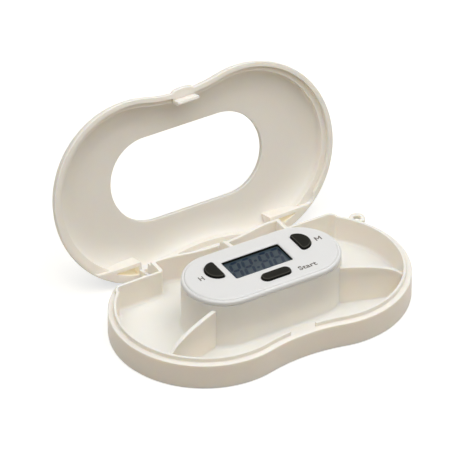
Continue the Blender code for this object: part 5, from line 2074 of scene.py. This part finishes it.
    def _door(self) -> bpy.types.Object:
        """The battery door: a disc with a rounded rim and a coin slot, its hub and two lugs."""
        gap = self.timer.seat_gap
        hub_top = self.cell_z - gap
        sink, reach = self.door_sink, self.hub_radius + self.lug_out
        layers = lower_edge(lambda inset: self._round(self.door_radius - inset), sink, self.door_edge, steps=4)
        top = (self._round(self.door_radius), self.door_recess - gap)
        door = Solid.loft("battery_door_moulding", *layers, top)
        low = (self.cup_x - reach, -self.lug_width / 2, hub_top - self.lug_thickness)
        door.join(
            Solid.prism("hub", self._round(self.hub_radius), (sink + self.door_recess) / 2, hub_top),
            Solid.block("lugs", low, (self.cup_x + reach, self.lug_width / 2, hub_top)),
        )
        slot = stadium((self.slot_length - self.slot_width) / 2, self.slot_width / 2, 0, 0, steps=12)
        turned = [(self.cup_x - y, x) for x, y in slot]
        door.cut(Solid.prism("coin slot", turned, -OVERRUN, sink + self.slot_depth))
        return door.dress(Finishes.ivory.material(), "door", "ivory_plastic", "battery_door")

    def _screws(self) -> bpy.types.Object:
        """The two long screws, instances of one slotted screw."""
        rule = GeometryRule("cover_screws", self._screw_mesh())
        x, y = rule.size("Screw X", self.timer.post_x), rule.size("Screw Y", self.timer.post_y)
        places = rule.line(rule.vector(x * -1, y), rule.vector(x * 2))
        steel = Finishes.steel.material()
        screws = rule.bake(rule.instances(places, rule.base_geometry()), steel)
        return screws.dress(steel, "tray", "steel", "cover_screw_left", "cover_screw_right")

    def _screw_mesh(self) -> bpy.types.Mesh:
        """One screw, head down, about its own axis."""
        low, shank = self.head_sink, circle(0, 0, self.shank_radius)
        layers = lower_edge(lambda inset: circle(0, 0, self.head_radius - inset), low, self.head_edge, steps=4)
        layers += [
            (circle(0, 0, self.head_radius), low + self.head_height),
            (shank, low + self.head_height),
            (shank, self.screw_reach - self.shank_radius),
            (circle(0, 0, self.shank_radius / 3), self.screw_reach),
        ]
        screw = Solid.loft("screw", *layers)
        narrow, broad = self.drive_width / 2, self.head_radius * self.drive_share
        for across, along in ((narrow, broad), (broad, narrow)):
            screw.cut(Solid.block("drive", (-across, -along, -OVERRUN), (across, along, low + self.drive_depth)))
        return screw.released()


class InnerParts:
    """The parts inside the timer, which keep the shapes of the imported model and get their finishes."""

    finishes = {
        "battery_cell": Finishes.can,
        "contact_negative": Finishes.gilt,
        "contact_positive": Finishes.gilt,
        "connector_front": Finishes.rubber,
        "connector_rear": Finishes.rubber,
        "circuit_board": Finishes.board,
        "chip_blob": Finishes.black,
        "crystal": Finishes.can,
        "snap_dome_hour": Finishes.gilt,
        "snap_dome_minute": Finishes.gilt,
        "snap_dome_start": Finishes.gilt,
        "buzzer_disc": Finishes.brass,
        "buzzer_ceramic": Finishes.silvered,
        "buzzer_wire_red": Finishes.red,
        "buzzer_wire_black": Finishes.black,
        "board_screw_left": Finishes.steel,
        "board_screw_front_left": Finishes.steel,
        "board_screw_front_right": Finishes.steel,
    }

    def dress(self, nodes: dict[str, bpy.types.Object]) -> None:
        """Gives each inner node its finish.

        Args:
            nodes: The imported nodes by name.
        """
        for name, finish in self.finishes.items():
            piece = nodes[name]
            for slot in piece.material_slots:
                slot.material = finish.material()
            log.info("%s: %s", name, finish.name)


# The studio.


def direction(turn: float, rise: float) -> Vector:
    """The direction from the box to a place that far round it and above the floor, in radians."""
    return Vector((math.sin(turn) * math.cos(rise), -math.cos(turn) * math.cos(rise), math.sin(rise)))


@dataclass(frozen=True)
class SoftLight:
    """One square softbox of the studio: where it stands round the box, its power and its colour."""

    name: str
    turn: float
    rise: float
    power: float
    colour: Colour
    size: float = 0.6
    distance: float = 0.9
    aim: tuple[float, float, float] = (0, 0.01, 0.02)

    def build(self) -> None:
        """Places the lamp and points it at the box."""
        place = direction(math.radians(self.turn), math.radians(self.rise))
        place *= self.distance
        data = bpy.data.lights.new(self.name, "AREA")
        data.size = self.size
        data.energy = self.power
        data.color = self.colour
        lamp = added(self.name, data)
        lamp.location = place
        lamp.rotation_euler = (Vector(self.aim) - place).to_track_quat("-Z", "Y").to_euler()


@dataclass
class Studio:
    """A pale floor, broad soft light from overhead, and the camera of the photo."""

    floor_half: float = 1.2
    floor_drop: float = 0.0001
    floor_colour: Colour = (0.56, 0.51, 0.43)
    floor_roughness: float = 0.9
    speck_size: float = 0.02
    speck_share: float = 0.985
    floor_lift: float = 0.68
    lift_colour: Colour = (0.93, 0.965, 1.0)
    ambient: Colour = (1.0, 0.94, 0.85)
    ambient_level: float = 0.05
    lights: tuple = (
        SoftLight("top light", 0, 90, 1.45, (0.9, 0.95, 1.0)),
        SoftLight("front light", 0, 60, 2.3, (0.985, 0.99, 1.0)),
        SoftLight("left light", -90, 60, 3.4, (0.985, 0.99, 1.0)),
        SoftLight("right light", 90, 60, 2.6, (0.985, 0.99, 1.0)),
        SoftLight("front right light", 40, 38, 1.1, (0.985, 0.99, 1.0)),
    )
    view_turn: float = math.radians(-30.65)
    view_rise: float = math.radians(35.25)
    view_distance: float = 2.0
    view_clip: float = 10.0
    view_right: float = -0.01123
    view_up: float = 0.02953
    sensor: float = 36.0
    scale_px: float = 5600.0
    picture_px: float = 458.0

    def build(self) -> None:
        """Builds the floor, the light and the camera."""
        self._world()
        self._floor()
        for light in self.lights:
            light.build()
        self._camera()
        bpy.context.scene.view_settings.view_transform = "Standard"

    def _seen(self, graph: Graph) -> Wire:
        """1 for camera, glossy and transmitted rays, which see the white background."""
        path = graph.tree.nodes.new("ShaderNodeLightPath")
        rays = ("Is Camera Ray", "Is Glossy Ray", "Is Transmission Ray")
        return graph.largest(*(Wire(graph, path.outputs[name]) for name in rays))

    def _world(self) -> None:
        """A plain ambient light that the camera sees as white."""
        world = bpy.data.worlds.new("studio")
        world.use_nodes = True
        graph = Graph(world.node_tree)
        dim = {"Color": (*self.ambient, 1), "Strength": self.ambient_level}
        light = graph.node("ShaderNodeBackground", {}, dim)
        white = graph.node("ShaderNodeBackground", {}, {"Color": (1, 1, 1, 1), "Strength": 1.0})
        mixed = graph.node("ShaderNodeMixShader", {}, {0: self._seen(graph), 1: light, 2: white})
        graph.node("ShaderNodeOutputWorld", {}, {"Surface": mixed})
        bpy.context.scene.world = world

    def _floor(self) -> None:
        """A wide floor, lifted to white for the camera but for the object's shadow."""

        def paint(graph: Graph) -> Wire:
            """Matt, with a plain glow that only seen rays get."""
            speck = graph.noise(self.speck_size, 2.0)
            warm = tuple(channel * self.speck_share for channel in self.floor_colour)
            matt = graph.principled({
                "Base Color": graph.blend(speck, warm, self.floor_colour),
                "Roughness": self.floor_roughness,
                "Specular IOR Level": 0.0,
            })
            lift = {"Color": (*self.lift_colour, 1), "Strength": self._seen(graph) * self.floor_lift}
            glow = graph.node("ShaderNodeEmission", {}, lift)
            return graph.node("ShaderNodeAddShader", {}, {0: matt, 1: glow})

        half, low = self.floor_half, -self.floor_drop
        corners = [(-half, -half, low), (half, -half, low), (half, half, low), (-half, half, low)]
        mesh = bpy.data.meshes.new("floor")
        mesh.from_pydata(corners, [], [(0, 1, 2, 3)])
        mesh.materials.append(new_material("pale floor", paint))
        floor = added("floor", mesh)

    def _camera(self) -> None:
        """The camera at the photo's angle and framing."""
        back = direction(self.view_turn, self.view_rise)
        right = Vector((math.cos(self.view_turn), math.sin(self.view_turn), 0))
        up = back.cross(right)
        data = bpy.data.cameras.new("camera")
        data.sensor_width = self.sensor
        data.lens = self.sensor * self.scale_px / self.picture_px
        data.clip_end = self.view_clip
        camera = added("camera", data)
        place = Matrix((right, up, back)).transposed().to_4x4()
        place.translation = back * self.view_distance + right * self.view_right + up * self.view_up
        camera.matrix_world = place
        bpy.context.scene.camera = camera


def main() -> None:
    """Builds every piece of the box and the studio."""
    logging.basicConfig(level=logging.INFO, format="%(name)s %(message)s")
    box, timer, plans = BoxSizes(), TimerSizes(), ButtonPlans()
    Tray(box, timer).build()
    Lid(box, timer).build()
    HingePins(box).build()
    TimerCover(timer, plans).build()
    Buttons(timer, plans).build()
    Display(timer).build()
    Printing(timer).build()
    BasePlate(timer).build()
    InnerParts().dress(frame["nodes"])
    Studio().build()


if __name__ == "__main__":
    main()
